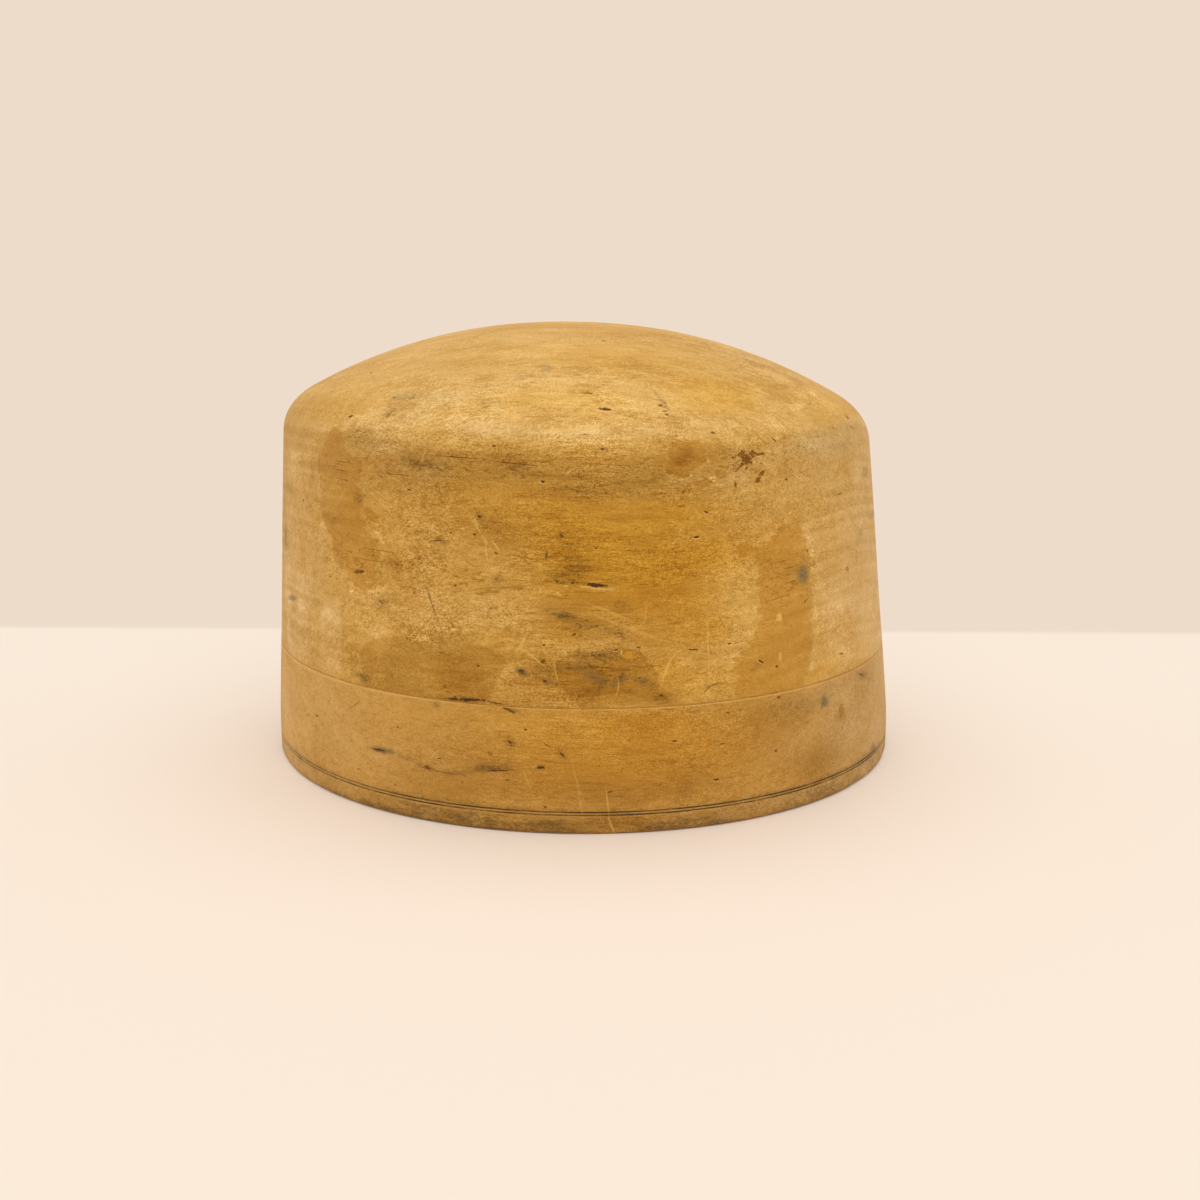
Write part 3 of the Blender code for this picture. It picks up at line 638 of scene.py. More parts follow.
class Recipe:
    """Lays shader nodes into one tree. Each step returns its output for the next step."""

    def __init__(self, tree, shift=None):
        self.tree = tree
        self.shift = shift
        self.here = None

    def link(self, value, socket):
        self.tree.links.new(value, socket)

    def step(self, kind, inputs=(), result=0, **settings):
        node = self.tree.nodes.new("ShaderNode" + kind)
        for name, value in settings.items():
            setattr(node, name, value)
        for name, value in dict(inputs).items():
            if isinstance(value, bpy.types.NodeSocket):
                self.link(value, node.inputs[name])
            else:
                node.inputs[name].default_value = value
        return node.outputs[result]

    def reckon(self, operation, first, *others):
        """The first value alone, or with each of the others in turn."""
        if not others:
            return self.step("Math", {0: first}, operation=operation)
        for other in others:
            first = self.step("Math", {0: first, 1: other}, operation=operation)
        return first

    def sum(self, *values):
        return self.reckon("ADD", *values)

    def less(self, a, b):
        return self.reckon("SUBTRACT", a, b)

    def times(self, *values):
        return self.reckon("MULTIPLY", *values)

    def most(self, *values):
        return self.reckon("MAXIMUM", *values)

    def line(self, value, slope, start):
        return self.sum(self.times(value, slope), start)

    def off(self, value, middle):
        """How far the value is from the middle, to either side."""
        return self.reckon("ABSOLUTE", self.less(value, middle))

    def ramp(self, value, low, high, to_low=0.0, to_high=1.0):
        inputs = {0: value, 1: low, 2: high, 3: to_low, 4: to_high}
        return self.step("MapRange", inputs, interpolation_type="SMOOTHSTEP")

    def level(self, value, to_low, to_high):
        """A field's value, 0 to 1, spread evenly between two levels."""
        return self.step("MapRange", {0: value, 3: to_low, 4: to_high})

    def blend(self, share, a, b, how="MIX"):
        a, b = (colour if isinstance(colour, bpy.types.NodeSocket) else (*colour, 1.0) for colour in (a, b))
        return self.step("Mix", {0: share, 6: a, 7: b}, 2, data_type="RGBA", blend_type=how)

    def tinted(self, colour, factor):
        """The colour with its red, green and blue each multiplied by the factor's own."""
        return self.blend(1.0, colour, factor, "MULTIPLY")

    def toned(self, colour, tone):
        """Lighter or darker wood: red by the tone, green by its 1.42nd and blue by its 2.9th
        power, so that pale spots turn greyer and dark spots warmer, as on old wood."""
        powers = {1: self.reckon("POWER", tone, 1.42), 2: self.reckon("POWER", tone, 2.9)}
        return self.tinted(colour, self.step("CombineColor", {0: tone, **powers}))

    def waver(self, *parts):
        """One plus each noise's distance from its middle, times that noise's own depth."""
        tone = 1.0
        for noise, depth in parts:
            tone = self.sum(self.times(self.less(noise, 0.5), depth), tone)
        return tone

    def vector(self, operation, a, b=(0.0, 0.0, 0.0), result=0):
        return self.step("VectorMath", {0: a, 1: b}, result, operation=operation)

    def parts(self, vector):
        """The vector's x, y and z."""
        apart = self.tree.nodes.new("ShaderNodeSeparateXYZ")
        self.link(vector, apart.inputs[0])
        return apart.outputs

    def place(self):
        """Where this spot is on the piece, in metres."""
        if self.here is None:
            self.here = self.step("TexCoord", result="Object")
        return self.here

    def moved(self, **by):
        """The place moved by X, Y or Z."""
        return self.vector("ADD", self.place(), self.step("CombineXYZ", by))

    def noise(self, per_metre, detail=3.0, rough=0.6, own_shift=0.0, place=None):
        """Noise, 0 to 1, with this many grains per metre along x, y and z. Noises of one scale
        differ by their own shift, and boards by the shift that their group is given."""
        shift = own_shift
        if self.shift is not None:
            shift = self.sum(self.shift, own_shift)
        stretched = self.vector("MULTIPLY", place or self.place(), per_metre)
        inputs = {"Vector": stretched, "W": shift, "Scale": 1.0, "Detail": detail, "Roughness": rough}
        return self.step("TexNoise", inputs, noise_dimensions="4D")

    def field(self, name):
        """The vector that a field of the skin carries, read off its points."""
        return self.step("Attribute", result="Vector", attribute_name=name)


def new_group(name, inputs, outputs):
    """An empty node group. Its inputs and outputs are given as {name: type}."""
    tree = bpy.data.node_groups.new(name, "ShaderNodeTree")
    for direction, sockets in (("INPUT", inputs), ("OUTPUT", outputs)):
        for socket_name, kind in sockets.items():
            tree.interface.new_socket(socket_name, in_out=direction, socket_type="NodeSocket" + kind)
    given = tree.nodes.new("NodeGroupInput").outputs
    made = tree.nodes.new("NodeGroupOutput").inputs
    return Recipe(tree, given["Shift"] if inputs.get("Shift") == "Float" else None), given, made


def use_group(recipe, name, **values):
    """Places a node group. Underscores in the keyword names stand for spaces."""
    node = recipe.tree.nodes.new("ShaderNodeGroup")
    node.node_tree = bpy.data.node_groups[name]
    for socket_name, value in values.items():
        socket = node.inputs[socket_name.replace("_", " ")]
        if isinstance(value, bpy.types.NodeSocket):
            recipe.link(value, socket)
        else:
            socket.default_value = value
    return node.outputs


# Node group: solid wood, with year rings round a pith line and fine fibres along the block
grain, given, made = new_group("solid wood", {
    "Early Wood": "Color", "Late Wood": "Color", "Pith": "Vector", "Ring Width": "Float",
    "Ring Contrast": "Float", "Shift": "Float",
}, {"Colour": "Color", "Fibre": "Float"})
facing = grain.parts(grain.step("TexCoord", result="Normal"))[0]
end_grain = grain.ramp(grain.reckon("ABSOLUTE", facing), 0.25, 0.85)
from_pith = grain.vector("SUBTRACT", grain.place(), given["Pith"])
in_section = grain.vector("MULTIPLY", from_pith, (0.0, 1.0, 1.0))
radius = grain.vector("LENGTH", in_section, result="Value")
radius = grain.sum(radius, grain.times(grain.noise((7.0, 26.0, 26.0), 2.0, 0.5), 0.010))
turns = grain.reckon("DIVIDE", radius, given["Ring Width"])
wave = grain.reckon("SINE", grain.times(turns, 2 * math.pi))
uneven = {"W": turns, "Scale": 0.7, "Detail": 4.0, "Roughness": 0.65}
uneven = grain.step("TexNoise", uneven, noise_dimensions="1D")
rings = grain.ramp(grain.sum(grain.times(wave, 0.10), uneven), 0.25, 0.80)
late_line = grain.ramp(grain.reckon("SINE", grain.times(turns, math.pi)), 0.88, 1.0)
banded = grain.sum(grain.times(grain.less(rings, 0.5), -0.26), grain.times(late_line, -0.10))
shown = grain.ramp(grain.noise((20.0, 60.0, 60.0)), 0.40, 0.62, 0.1, 1.0)
banded = grain.times(banded, shown, given["Ring Contrast"])
colour = grain.blend(grain.line(grain.less(rings, 0.5), 0.5, 0.5), given["Early Wood"], given["Late Wood"])
grain.link(grain.toned(colour, grain.line(banded, end_grain, 1.0)), made["Colour"])
grain.link(grain.noise((95.0, 3100.0, 3100.0)), made["Fibre"])

# Node group: rubbed surface, calm in places and busy in others with crisp pale flecks and
# curls, dark specks and hairlines that run with the grain
rub, given, made = new_group("rubbed surface", {
    "Colour": "Color", "Fibre": "Float", "Mottled": "Float", "Flecks": "Float",
    "Hairlines": "Float", "Shift": "Float",
}, {"Colour": "Color", "Speckle": "Float"})
speckle = rub.noise((2000.0, 3500.0, 3500.0), 2.0)
dashes = rub.noise((300.0, 2200.0, 2200.0), 3.0, 0.62)
streak = rub.noise((60.0, 1000.0, 1000.0), 3.0, 0.62)
blotch = rub.ramp(rub.noise((95.0, 420.0, 420.0)), 0.40, 0.60)
busy = rub.times(rub.ramp(rub.noise((46.0, 84.0, 84.0)), 0.36, 0.64, 0.25, 1.0), given["Mottled"])
tone = rub.waver(
    (speckle, rub.line(busy, 2.35, 0.22)),
    (dashes, rub.line(busy, 1.15, 0.16)),
    (given["Fibre"], rub.line(busy, 0.40, 0.26)),
    (streak, rub.line(busy, 0.45, 0.24)),
    (blotch, rub.line(busy, 0.11, 0.03)),
    (rub.noise((24.0, 60.0, 60.0)), 0.42))
colour = rub.toned(given["Colour"], tone)
# Islands of a paler crust, with a crisp shore
crust = rub.noise((90.0, 250.0, 250.0), 5.0, 0.72, 9.0)
crust = rub.sum(crust, rub.times(rub.less(given["Flecks"], 0.5), 0.10))
island = rub.times(rub.ramp(crust, 0.50, 0.54), rub.level(given["Flecks"], 0.15, 1.0), 0.9)
colour = rub.blend(island, colour, rub.toned(colour, rub.level(given["Flecks"], 1.05, 1.20)))
shore = rub.ramp(rub.off(crust, 0.515), 0.012, 0.003)
# Pale bits: flecks and curls in clusters, and short scores that lean to either side
cluster = rub.ramp(rub.noise((150.0, 260.0, 260.0), own_shift=3.0), 0.42, 0.58)
fleck = rub.ramp(rub.noise((1100.0, 2300.0, 2300.0), 2.0, own_shift=7.0), 0.57, 0.64)
curl = rub.ramp(rub.off(rub.noise((380.0, 560.0, 560.0), 1.0, 0.5, 11.0), 0.5), 0.022, 0.008)
curl = rub.times(rub.most(rub.times(curl, cluster), shore), rub.ramp(speckle, 0.44, 0.54))
pale_bits = rub.most(rub.times(fleck, cluster), curl)
along, _, height = rub.parts(rub.place())
for lean, shift in ((0.55, 19.0), (-0.40, 23.0)):
    score = rub.noise((1700.0, 480.0, 420.0), 1.0, 0.5, shift, rub.moved(X=rub.times(height, lean)))
    pale_bits = rub.most(pale_bits, rub.times(rub.ramp(score, 0.63, 0.71), cluster))
pale_bits = rub.times(pale_bits, given["Flecks"], 0.9)
colour = rub.blend(pale_bits, colour, rub.tinted(given["Colour"], (1.42, 1.62, 2.35)))
# Dark bits: hairlines that run with the grain, a little tilted, and specks
grain_line = rub.noise((9.0, 470.0, 470.0), 2.0, 0.45, 5.0, rub.moved(Z=rub.times(along, 0.05)))
grain_line = rub.ramp(rub.off(grain_line, 0.5), 0.040, 0.012)
shown = rub.ramp(rub.noise((110.0, 700.0, 700.0), own_shift=13.0), 0.47, 0.57)
cut = rub.times(grain_line, shown, given["Hairlines"])
dark_cluster = rub.ramp(rub.noise((34.0, 120.0, 120.0), own_shift=2.0), 0.46, 0.60)
speck = rub.ramp(rub.noise((700.0, 1100.0, 1100.0), 3.0, 0.66, 17.0), 0.38, 0.29)
speck = rub.times(speck, rub.line(dark_cluster, 0.8, 0.2), rub.level(given["Mottled"], 0.3, 1.0))
colour = rub.blend(rub.times(rub.most(cut, speck), 0.9), colour, rub.toned(colour, 0.64))
rub.link(colour, made["Colour"])
rub.link(speckle, made["Speckle"])

# Node group: what is left of the varnish, with a ragged edge and a pale rim, old stains, and
# soot as a thin veil full of crisp specks
coat, given, made = new_group("worn varnish", {
    "Colour": "Color", "Varnish": "Float", "Stain": "Float", "Soot": "Float", "Grit": "Float",
    "Shift": "Float",
}, {"Colour": "Color", "Covered": "Float"})
coast = coat.noise((75.0, 110.0, 110.0), 2.0, 0.5)
crumbs = coat.noise((300.0, 620.0, 620.0), 4.0, 0.68)
ragged = coat.sum(coat.less(coast, 0.5), coat.times(coat.less(crumbs, 0.5), 1.1))
edge = coat.sum(given["Varnish"], ragged)
covered = coat.times(coat.ramp(edge, 0.43, 0.53), coat.ramp(crumbs, 0.25, 0.50, 0.75, 1.0))
rim = coat.times(coat.ramp(edge, 0.26, 0.43), coat.ramp(edge, 0.53, 0.44), coat.ramp(coast, 0.42, 0.60))
rim = coat.line(rim, coat.ramp(crumbs, 0.46, 0.60, 0.06, 0.42), 1.0)
colour = coat.toned(given["Colour"], rim)
colour = coat.blend(covered, colour, coat.tinted(colour, (0.89, 0.81, 0.56)))
stained = coat.ramp(coat.sum(given["Stain"], coat.times(ragged, 0.8)), 0.40, 0.60)
colour = coat.blend(coat.times(stained, 0.9), colour, coat.tinted(colour, (0.78, 0.71, 0.48)))
smear = coat.noise((110.0, 380.0, 380.0), 4.0, 0.65, 4.0)
veil = coat.times(given["Soot"], coat.ramp(smear, 0.30, 0.62, 0.45, 1.0))
colour = coat.blend(veil, colour, coat.tinted(colour, (0.60, 0.585, 0.56)))
dense = coat.sum(coat.times(given["Soot"], 0.20), coat.times(coat.less(smear, 0.5), 0.45))
sooty = coat.ramp(coat.sum(coat.noise((700.0, 1500.0, 1500.0), 3.0, 0.7), dense), 0.58, 0.80)
sooty = coat.times(sooty, coat.ramp(given["Soot"], 0.0, 0.25), given["Grit"], 0.85)
coat.link(coat.blend(sooty, colour, coat.tinted(colour, (0.36, 0.36, 0.38))), made["Colour"])
coat.link(covered, made["Covered"])

# Node group: small marks from their own coordinates, dark pits with a pale chip below them
dent, given, made = new_group("pits and strokes", {
    "Colour": "Color", "Pits": "Vector", "Scratches": "Vector", "Coloured": "Vector",
}, {"Colour": "Color", "Depth": "Float"})
rough_rim = dent.noise((1500.0, 2200.0, 2200.0), 2.0)
JUST_BELOW = 0.001


def stroke_mask(socket, outer, inner, ragged):
    """How far inside a mark this spot is, times the mark's strength: the length of its own
    coordinates, roughened by noise, from the outer to the inner limit. The last value is 1 for
    marks of the second kind."""
    u, v, near = dent.parts(socket)
    far = dent.reckon("SQRT", dent.sum(dent.times(u, u), dent.times(v, v)))
    far = dent.sum(far, dent.times(dent.less(rough_rim, 0.5), ragged))
    second = dent.reckon("GREATER_THAN", near, 2 * MARKED - JUST_BELOW)
    strength = dent.less(dent.less(near, MARKED), dent.times(second, MARKED))
    strength = dent.times(dent.reckon("GREATER_THAN", near, MARKED - JUST_BELOW), strength)
    return dent.times(dent.ramp(far, outer, inner), strength), far, v, strength, second


pit, pit_far, pit_v, pit_strength, _ = stroke_mask(given["Pits"], 1.10, 0.60, 2.2)
chip = dent.times(dent.ramp(pit_far, 2.2, 1.5), dent.ramp(pit_far, 0.9, 1.2))
chip = dent.times(chip, dent.ramp(pit_v, -0.4, -1.2), dent.ramp(pit_strength, 0.8, 1.0))
scratch, _, _, _, drip = stroke_mask(given["Scratches"], 1.2, 0.5, 1.9)
stroke, stroke_far, _, stroke_strength, cool = stroke_mask(given["Coloured"], 1.2, 0.5, 2.4)
stroke = dent.less(stroke, dent.times(stroke, cool))
smudge = dent.times(cool, stroke_strength, dent.ramp(stroke_far, 1.4, 0.5))
smudge = dent.times(smudge, dent.ramp(rough_rim, 0.34, 0.60, 0.45, 1.0))
scratch_colour = dent.blend(drip, (0.92, 0.55, 0.135), (0.82, 0.36, 0.018))
colour = dent.blend(dent.times(smudge, 0.85), given["Colour"], (0.115, 0.112, 0.060))
colour = dent.blend(dent.times(scratch, 0.75), colour, scratch_colour)
colour = dent.blend(dent.times(chip, 0.8), colour, (0.92, 0.57, 0.18))
colour = dent.blend(dent.times(stroke, 0.70), colour, (0.20, 0.062, 0.045))
colour = dent.blend(dent.ramp(pit, 0.0, 0.55), colour, dent.tinted(colour, (0.45, 0.30, 0.035)))
colour = dent.blend(dent.ramp(pit, 0.45, 1.0, 0.0, 0.85), colour, (0.060, 0.030, 0.008))
dent.link(colour, made["Colour"])
dent.link(dent.sum(pit, dent.times(scratch, 0.2)), made["Depth"])

# Node group: pinholes and short dark fibres scattered through the wood
hole, given, made = new_group(
    "pinholes", {"Colour": "Color", "Shift": "Vector"}, {"Colour": "Color", "Depth": "Float"})


def scattered(shrink_along, per_metre, rarest, widest):
    """1 on a few small spots and 0 elsewhere. A spot lies in the middle of a cell of a cell
    pattern whose chance is above the rarest, and its radius grows with that up to the widest."""
    shifted = hole.vector("ADD", hole.place(), given["Shift"])
    stretched = hole.vector("MULTIPLY", shifted, (shrink_along, 1.0, 1.0))
    cells = hole.step("TexVoronoi", {"Vector": stretched, "Scale": per_metre}, feature="F1")
    chance = hole.step("SeparateColor", {0: cells.node.outputs["Color"]})
    return hole.reckon("LESS_THAN", cells, hole.ramp(chance, rarest, 1.0, 0.0, widest))


pin = scattered(0.55, 190.0, 0.55, 0.075)
dash = scattered(0.16, 330.0, 0.7, 0.11)
colour = hole.blend(hole.times(dash, 0.35), given["Colour"], (0.20, 0.11, 0.03))
hole.link(hole.blend(hole.times(pin, 0.8), colour, (0.07, 0.038, 0.014)), made["Colour"])
hole.link(pin, made["Depth"])


def new_material(name):
    """A material with its shader, and the recipe that lays its nodes."""
    material = bpy.data.materials.new(name)
    material.use_nodes = True
    return material, material.node_tree.nodes["Principled BSDF"], Recipe(material.node_tree)


WORN_SPECULAR, BUMP_STRENGTH, BUMP_DISTANCE, MARK_RELIEF = 0.2, 0.2, 0.2 * MM, 2.0


def worn_wood(name, pattern, tint, amber, pale, shifts, grit, gloss, relief, smoothest, drawn=None):
    """Material of a worn board, from the bare wood outwards: a slow tint, given as (grains per
    metre, shift, most share, factor); the amber, the pale, and the lighter or darker zones; the
    rubbed surface; what is left of the varnish; pinholes; what is drawn on it; single marks."""
    material, shader, paint = new_material(name)
    shader.inputs["Specular IOR Level"].default_value = WORN_SPECULAR
    wood = use_group(paint, "solid wood", **pattern)
    finish, wear_and_sheen, shade = (paint.parts(paint.field(name)) for name in ("finish_left", "wear_and_sheen", "shade"))
    per_metre, tint_shift, share, factor = tint
    tinted = paint.ramp(paint.noise(per_metre, own_shift=tint_shift), 0.38, 0.66, 0.0, share)
    colour = paint.blend(tinted, wood["Colour"], paint.tinted(wood["Colour"], factor))
    colour = paint.blend(wear_and_sheen[1], colour, paint.tinted(colour, amber))
    colour = paint.blend(wear_and_sheen[0], colour, paint.tinted(colour, pale))
    colour = paint.toned(colour, paint.level(shade[0], 0.70, 1.30))
    rub_shift, coat_shift, hole_shift = shifts
    rubbed = use_group(
        paint, "rubbed surface", Colour=colour, Fibre=wood["Fibre"], Mottled=wear_and_sheen[2], Flecks=shade[1],
        Hairlines=shade[2], Shift=rub_shift)
    coated = use_group(
        paint, "worn varnish", Colour=rubbed["Colour"], Varnish=finish[0], Stain=finish[1],
        Soot=finish[2], Grit=grit, Shift=coat_shift)
    holed = use_group(paint, "pinholes", Colour=coated["Colour"], Shift=hole_shift)
    marked = use_group(
        paint, "pits and strokes", Colour=drawn(paint, holed["Colour"]) if drawn else holed["Colour"],
        Pits=paint.field("pits"), Scratches=paint.field("scratches"), Coloured=paint.field("coloured"))
    roughness = paint.ramp(wood["Fibre"], 0.3, 0.7, smoothest, smoothest + 0.10)
    roughness = paint.less(roughness, paint.times(coated["Covered"], gloss))
    fibre_relief, speckle_relief = relief
    raised = paint.times(wood["Fibre"], fibre_relief)
    raised = paint.sum(raised, paint.times(rubbed["Speckle"], speckle_relief))
    raised = paint.less(raised, paint.sum(paint.times(marked["Depth"], MARK_RELIEF), holed["Depth"]))
    bump = paint.step("Bump", {"Strength": BUMP_STRENGTH, "Distance": BUMP_DISTANCE, "Height": raised})
    paint.link(marked["Colour"], shader.inputs["Base Color"])
    paint.link(roughness, shader.inputs["Roughness"])
    paint.link(bump, shader.inputs["Normal"])
    return material


crown_pattern = {
    "Early_Wood": (0.665, 0.372, 0.078, 1), "Late_Wood": (0.595, 0.308, 0.052, 1),
    "Pith": (0.0, -0.042, -0.045), "Ring_Width": 0.0044, "Ring_Contrast": 0.6, "Shift": 1.7}
worn_crown.data.materials.append(worn_wood(
    "worn plank wood", crown_pattern, tint=((28.0, 60.0, 60.0), 4.1, 0.5, (0.94, 0.86, 0.62)),
    amber=(0.92, 0.80, 0.30), pale=(1.04, 1.17, 2.00), shifts=(2.3, 5.2, (0.013, 0.0, 0.004)),
    grit=1.0, gloss=0.10, relief=(0.5, 0.4), smoothest=0.52))
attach(worn_crown, "root")
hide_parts("crown_block")

# Base board
# The lower board, glued under the plank with its grain the same way and shaved with it. Two
# fine lines are scribed round it where the hat's cord is tied, the edge below them is brown
# with dirt from handling, and it is bored through for the spindle of a blocking stand.
BASE_TOP = GLUE_LINE - GLUE_CLEARANCE
EDGE_EASE = 0.8 * MM
CORD_LINES = (5.5, 6.35)
SOCKET_RADIUS, SOCKET_CHAMFER = 12.7 * MM, 1.6 * MM

# The rows of the skin are close together where the lines are scribed
base_heights = np.concatenate([
    np.linspace(0.8, 5.0, 7, endpoint=False), np.linspace(5.0, 6.9, 20, endpoint=False),
    np.linspace(6.9, 35.0, 36, endpoint=False), [35.0, 35.2, 35.3, BASE_TOP / MM]]) * MM
base_skin = np.concatenate([
    side_surface(around, np.zeros((1, 1)), EDGE_EASE),
    side_surface(around, np.full((1, 1), EDGE_EASE * 0.3), EDGE_EASE * 0.35),
    side_surface(around + 0 * base_heights[:, None], base_heights[:, None]),
])
base_girth = np.broadcast_to(girth_of(ANGLES), base_skin.shape[:2])
base_x, base_y, base_height = np.moveaxis(base_skin, -1, 0) / MM
base_place = (base_girth, base_height)

# Scribed lines 0.32 mm deep, and chips along the lower edge at the back end
scribed = sum(np.exp(-((base_height - line) / 0.16) ** 2) for line in CORD_LINES)
chipped = np.clip(np.sin(base_girth / 6.1) + np.sin(base_girth / 3.7 + 1.0) - 0.6, 0, 2)
chipped = chipped * np.exp(-(base_height / 1.4) ** 2) * np.clip((base_girth - 70) / 20, 0, 1)
base_dents = MM * (0.10 * shaving(base_x, base_y, base_height) + 0.32 * scribed + 0.22 * chipped)
base_skin = pushed_in(base_skin, base_dents)
base_skin[0, :, 2] = 0.0
base_skin[-1, :, 2] = BASE_TOP

# Soot and dirt: single smuts, and a brown foot below the lines
base_smuts = [
    (-24, 18, 9, 2.4, 0.35, 5), (5, 11, 10, 4, 0.3), (30, 13, 12, 5, 0.25), (62, 30, 16, 4, 0.35),
    (77, 29.4, 2.4, 2.2, 0.25), (100, 20, 30, 16, 0.15), (-104, 6, 14, 3, 0.3),
    (-58.6, 18.2, 4.6, 0.9, 1, 3), (-49, 17.2, 5, 0.8, 0.45, -14), (-43.6, 16, 2.2, 0.9, 0.8, -8),
    (-36, 15.5, 4, 0.8, 0.6, 2), (-25, 17.9, 5, 1, 0.8, 6), (-19.4, 25.4, 1.6, 1.4, 0.85, -25),
    (-40.8, 34.2, 1.2, 1.4, 0.7), (-5.2, 23, 2, 0.9, 0.6, -50), (-19, 35, 2.8, 0.9, 0.95, -22),
    (-10.8, 19, 1.5, 0.9, 0.7, 5), (98, 32.6, 4.2, 1.3, 0.6, -22), (104.5, 7.9, 2.4, 1.4, 0.6, -40),
    (96.4, 13, 1.2, 1, 0.4), (-80, 6.2, 28, 1.3, 0.3), (-36, 6.8, 24, 1, 0.6), (8, 6.6, 26, 0.9, 0.35),
    (64, 6.4, 30, 1.1, 0.65), (100, 6.6, 12, 1.5, 0.65), (-10, 1.4, 10, 2.4, 0.7),
    (29, 1.2, 12, 2.4, 0.7), (-60, 0.8, 30, 1.2, 0.4)]
foot_patches = [
    (-38, 3, 14, 5, 0.5), (-92, 3, 24, 6, -0.45), (10, 1.2, 6, 2, -0.3), (76, 3, 9, 5, 0.15)]
below_lines = np.clip((5.6 - base_height) / 1.2, 0, 1)
foot_dirt = 0.45 + 0.25 * np.clip((4 - base_height) / 4, 0, 1) + smudged(*base_place, foot_patches)
base_stain = 0.9 * cloud(*base_place, 85, 25, 1.9, 2.9)
base_soot = below_lines * foot_dirt + smudged(*base_place, base_smuts)

# Worn zones: pale dry wood, deep amber wood, and lighter or darker wood. The paler, lighter wood at
# both ends is partly painted sheen.
base_pale_and_sheen = [
    (-75, 22, 44, 16, 0.3), (104, 20, 32, 22, 0.85), (60, 21, 16, 8, 0.35), (84, 32, 20, 3.5, 0.65),
    (39.6, 23.4, 1.8, 1.7, 0.4), (66, 2, 34, 4, 0.5), (98, 30, 20, 8, 0.3), (78, 14, 16, 6, 0.2),
    (-100, 3, 18, 5, 0.75), (-80, 3, 6, 4, 0.35), (104, 5, 10, 8, 0.3), (84, 19, 12, 8, 0.2),
    (-113, 18, 7, 14, 0.25)]
base_amber = [
    (14, 24, 44, 14, 0.9), (-26, 32, 30, 4, 0.25), (-58, 28, 14, 9, 0.35), (18, 31, 14, 4.5, 0.25)]
base_tones_and_sheen = [
    (12, 12, 40, 7, -0.14), (62, 20, 22, 14, -0.1), (-70, 28, 36, 10, 0.06), (104, 22, 20, 20, 0.06),
    (-112, 22, 16, 20, 0.1), (73, 14, 6, 4.6, -0.1, 20), (84.8, 25, 1.9, 3, -0.14, -12),
    (97, 18.5, 1.5, 1.3, -0.14), (39.6, 23.4, 2.2, 1.9, 0.12), (88, 20, 4, 8, 0.06),
    (84, 33, 18, 2, -0.08), (-80, 24, 18, 4, -0.03), (-58, 12, 12, 3, 0.06, 4), (46, 6.2, 2.4, 1.2, 0.1),
    (-22, 32, 30, 3.5, 0.13), (20, 31, 12, 4, -0.08), (52, 32, 9, 3.5, -0.12), (98, 30, 20, 8, -0.17),
    (-114, 22, 6, 16, 0.18), (-24, 25, 4, 4, -0.12), (-100, 13, 14, 7, 0.18), (-26, 18, 24, 4, -0.08),
    (-34, 11, 28, 4, -0.18), (28, 11, 14, 3.5, -0.08), (78, 13, 14, 7, -0.19), (-80, 3, 5, 3, -0.18),
    (-28, 3, 6, 3, 0.1), (10, 3, 12, 3, -0.32), (104, 3, 8, 4, 0.1), (64, 3, 26, 4, 0.05),
    (-31, 3, 4, 3, 0.1), (36, 18, 7, 4, 0.1), (-4, 18, 7, 4, -0.08), (-19, 29, 8, 4, 0.1),
    (86, 29, 7, 4, 0.14), (-96, 3, 22, 5, 0.1), (120, 6, 4, 6, -0.14), (76, 11, 16, 4, -0.12),
    (-86, 3, 9, 4, -0.12)]
base_busy = 0.20 + 0.35 * cloud(*base_place, 20, 20, 64, 40) + 0.15 * below_lines
base_flecks = 0.10 + 0.42 * below_lines + 0.3 * cloud(*base_place, 10, 30, 46, 6)
# Partly painted sheen: the paler, lighter wood at both ends
base_tone = 0.5 + smudged(*base_place, base_tones_and_sheen)
base_tone = base_tone - 0.08 * below_lines - 0.12 * np.clip((2.2 - base_height) / 2.2, 0, 1)

# Pits and cracks, pale scratches, and a pencil stroke with cool grey smudges as the second kind
base_pits = [
    (-60, 18.2, 2.6, 0.35, 4, 0.6), (-43.6, 16, 0.9, 0.4, -8, 0.6), (-22, 17.5, 4, 0.22, 6, 0.65),
    (-25, 22.1, 0.9, 0.7, 0, 0.32), (-41, 15.3, 6, 0.14, -4, 0.4), (-19.5, 25.6, 0.7, 0.4, -25, 0.75),
    (-15.2, 29.4, 0.5, 0.3, 0, 0.8), (-10.8, 19, 1.2, 0.45, 5, 0.8), (-9.3, 25.4, 1.5, 0.2, -32, 0.5),
    (-5, 22.7, 1.4, 0.28, -50, 0.75), (-20, 15, 0.7, 0.2, 15, 0.6), (8.1, 12.3, 0.6, 0.22, 15, 0.8),
    (26.2, 25.7, 0.75, 0.25, 0, 0.85), (38.2, 13.6, 0.8, 0.3, -5, 0.9), (13.4, 26.6, 0.8, 0.25, 0, 0.4),
    (40.2, 23.6, 0.9, 0.25, 0, 0.5), (42.2, 32.2, 0.5, 0.25, 0, 0.8), (-40, 19, 0.6, 0.2, 15, 0.9),
    (-53.4, 26, 0.35, 0.25, 0, 0.6), (-87, 22, 0.9, 0.3, 5, 0.6), (-54, 9.1, 0.45, 0.25, 0, 0.7),
    (-67.6, 10.8, 0.6, 0.22, 10, 0.6), (-9.6, 7.8, 0.5, 0.3, 0, 0.7), (-19.9, 34.6, 2.2, 0.35, -22, 0.6),
    (97.5, 32.8, 2.4, 0.35, -22, 0.4), (-33, 12.9, 0.3, 0.2, 0, 0.6)]
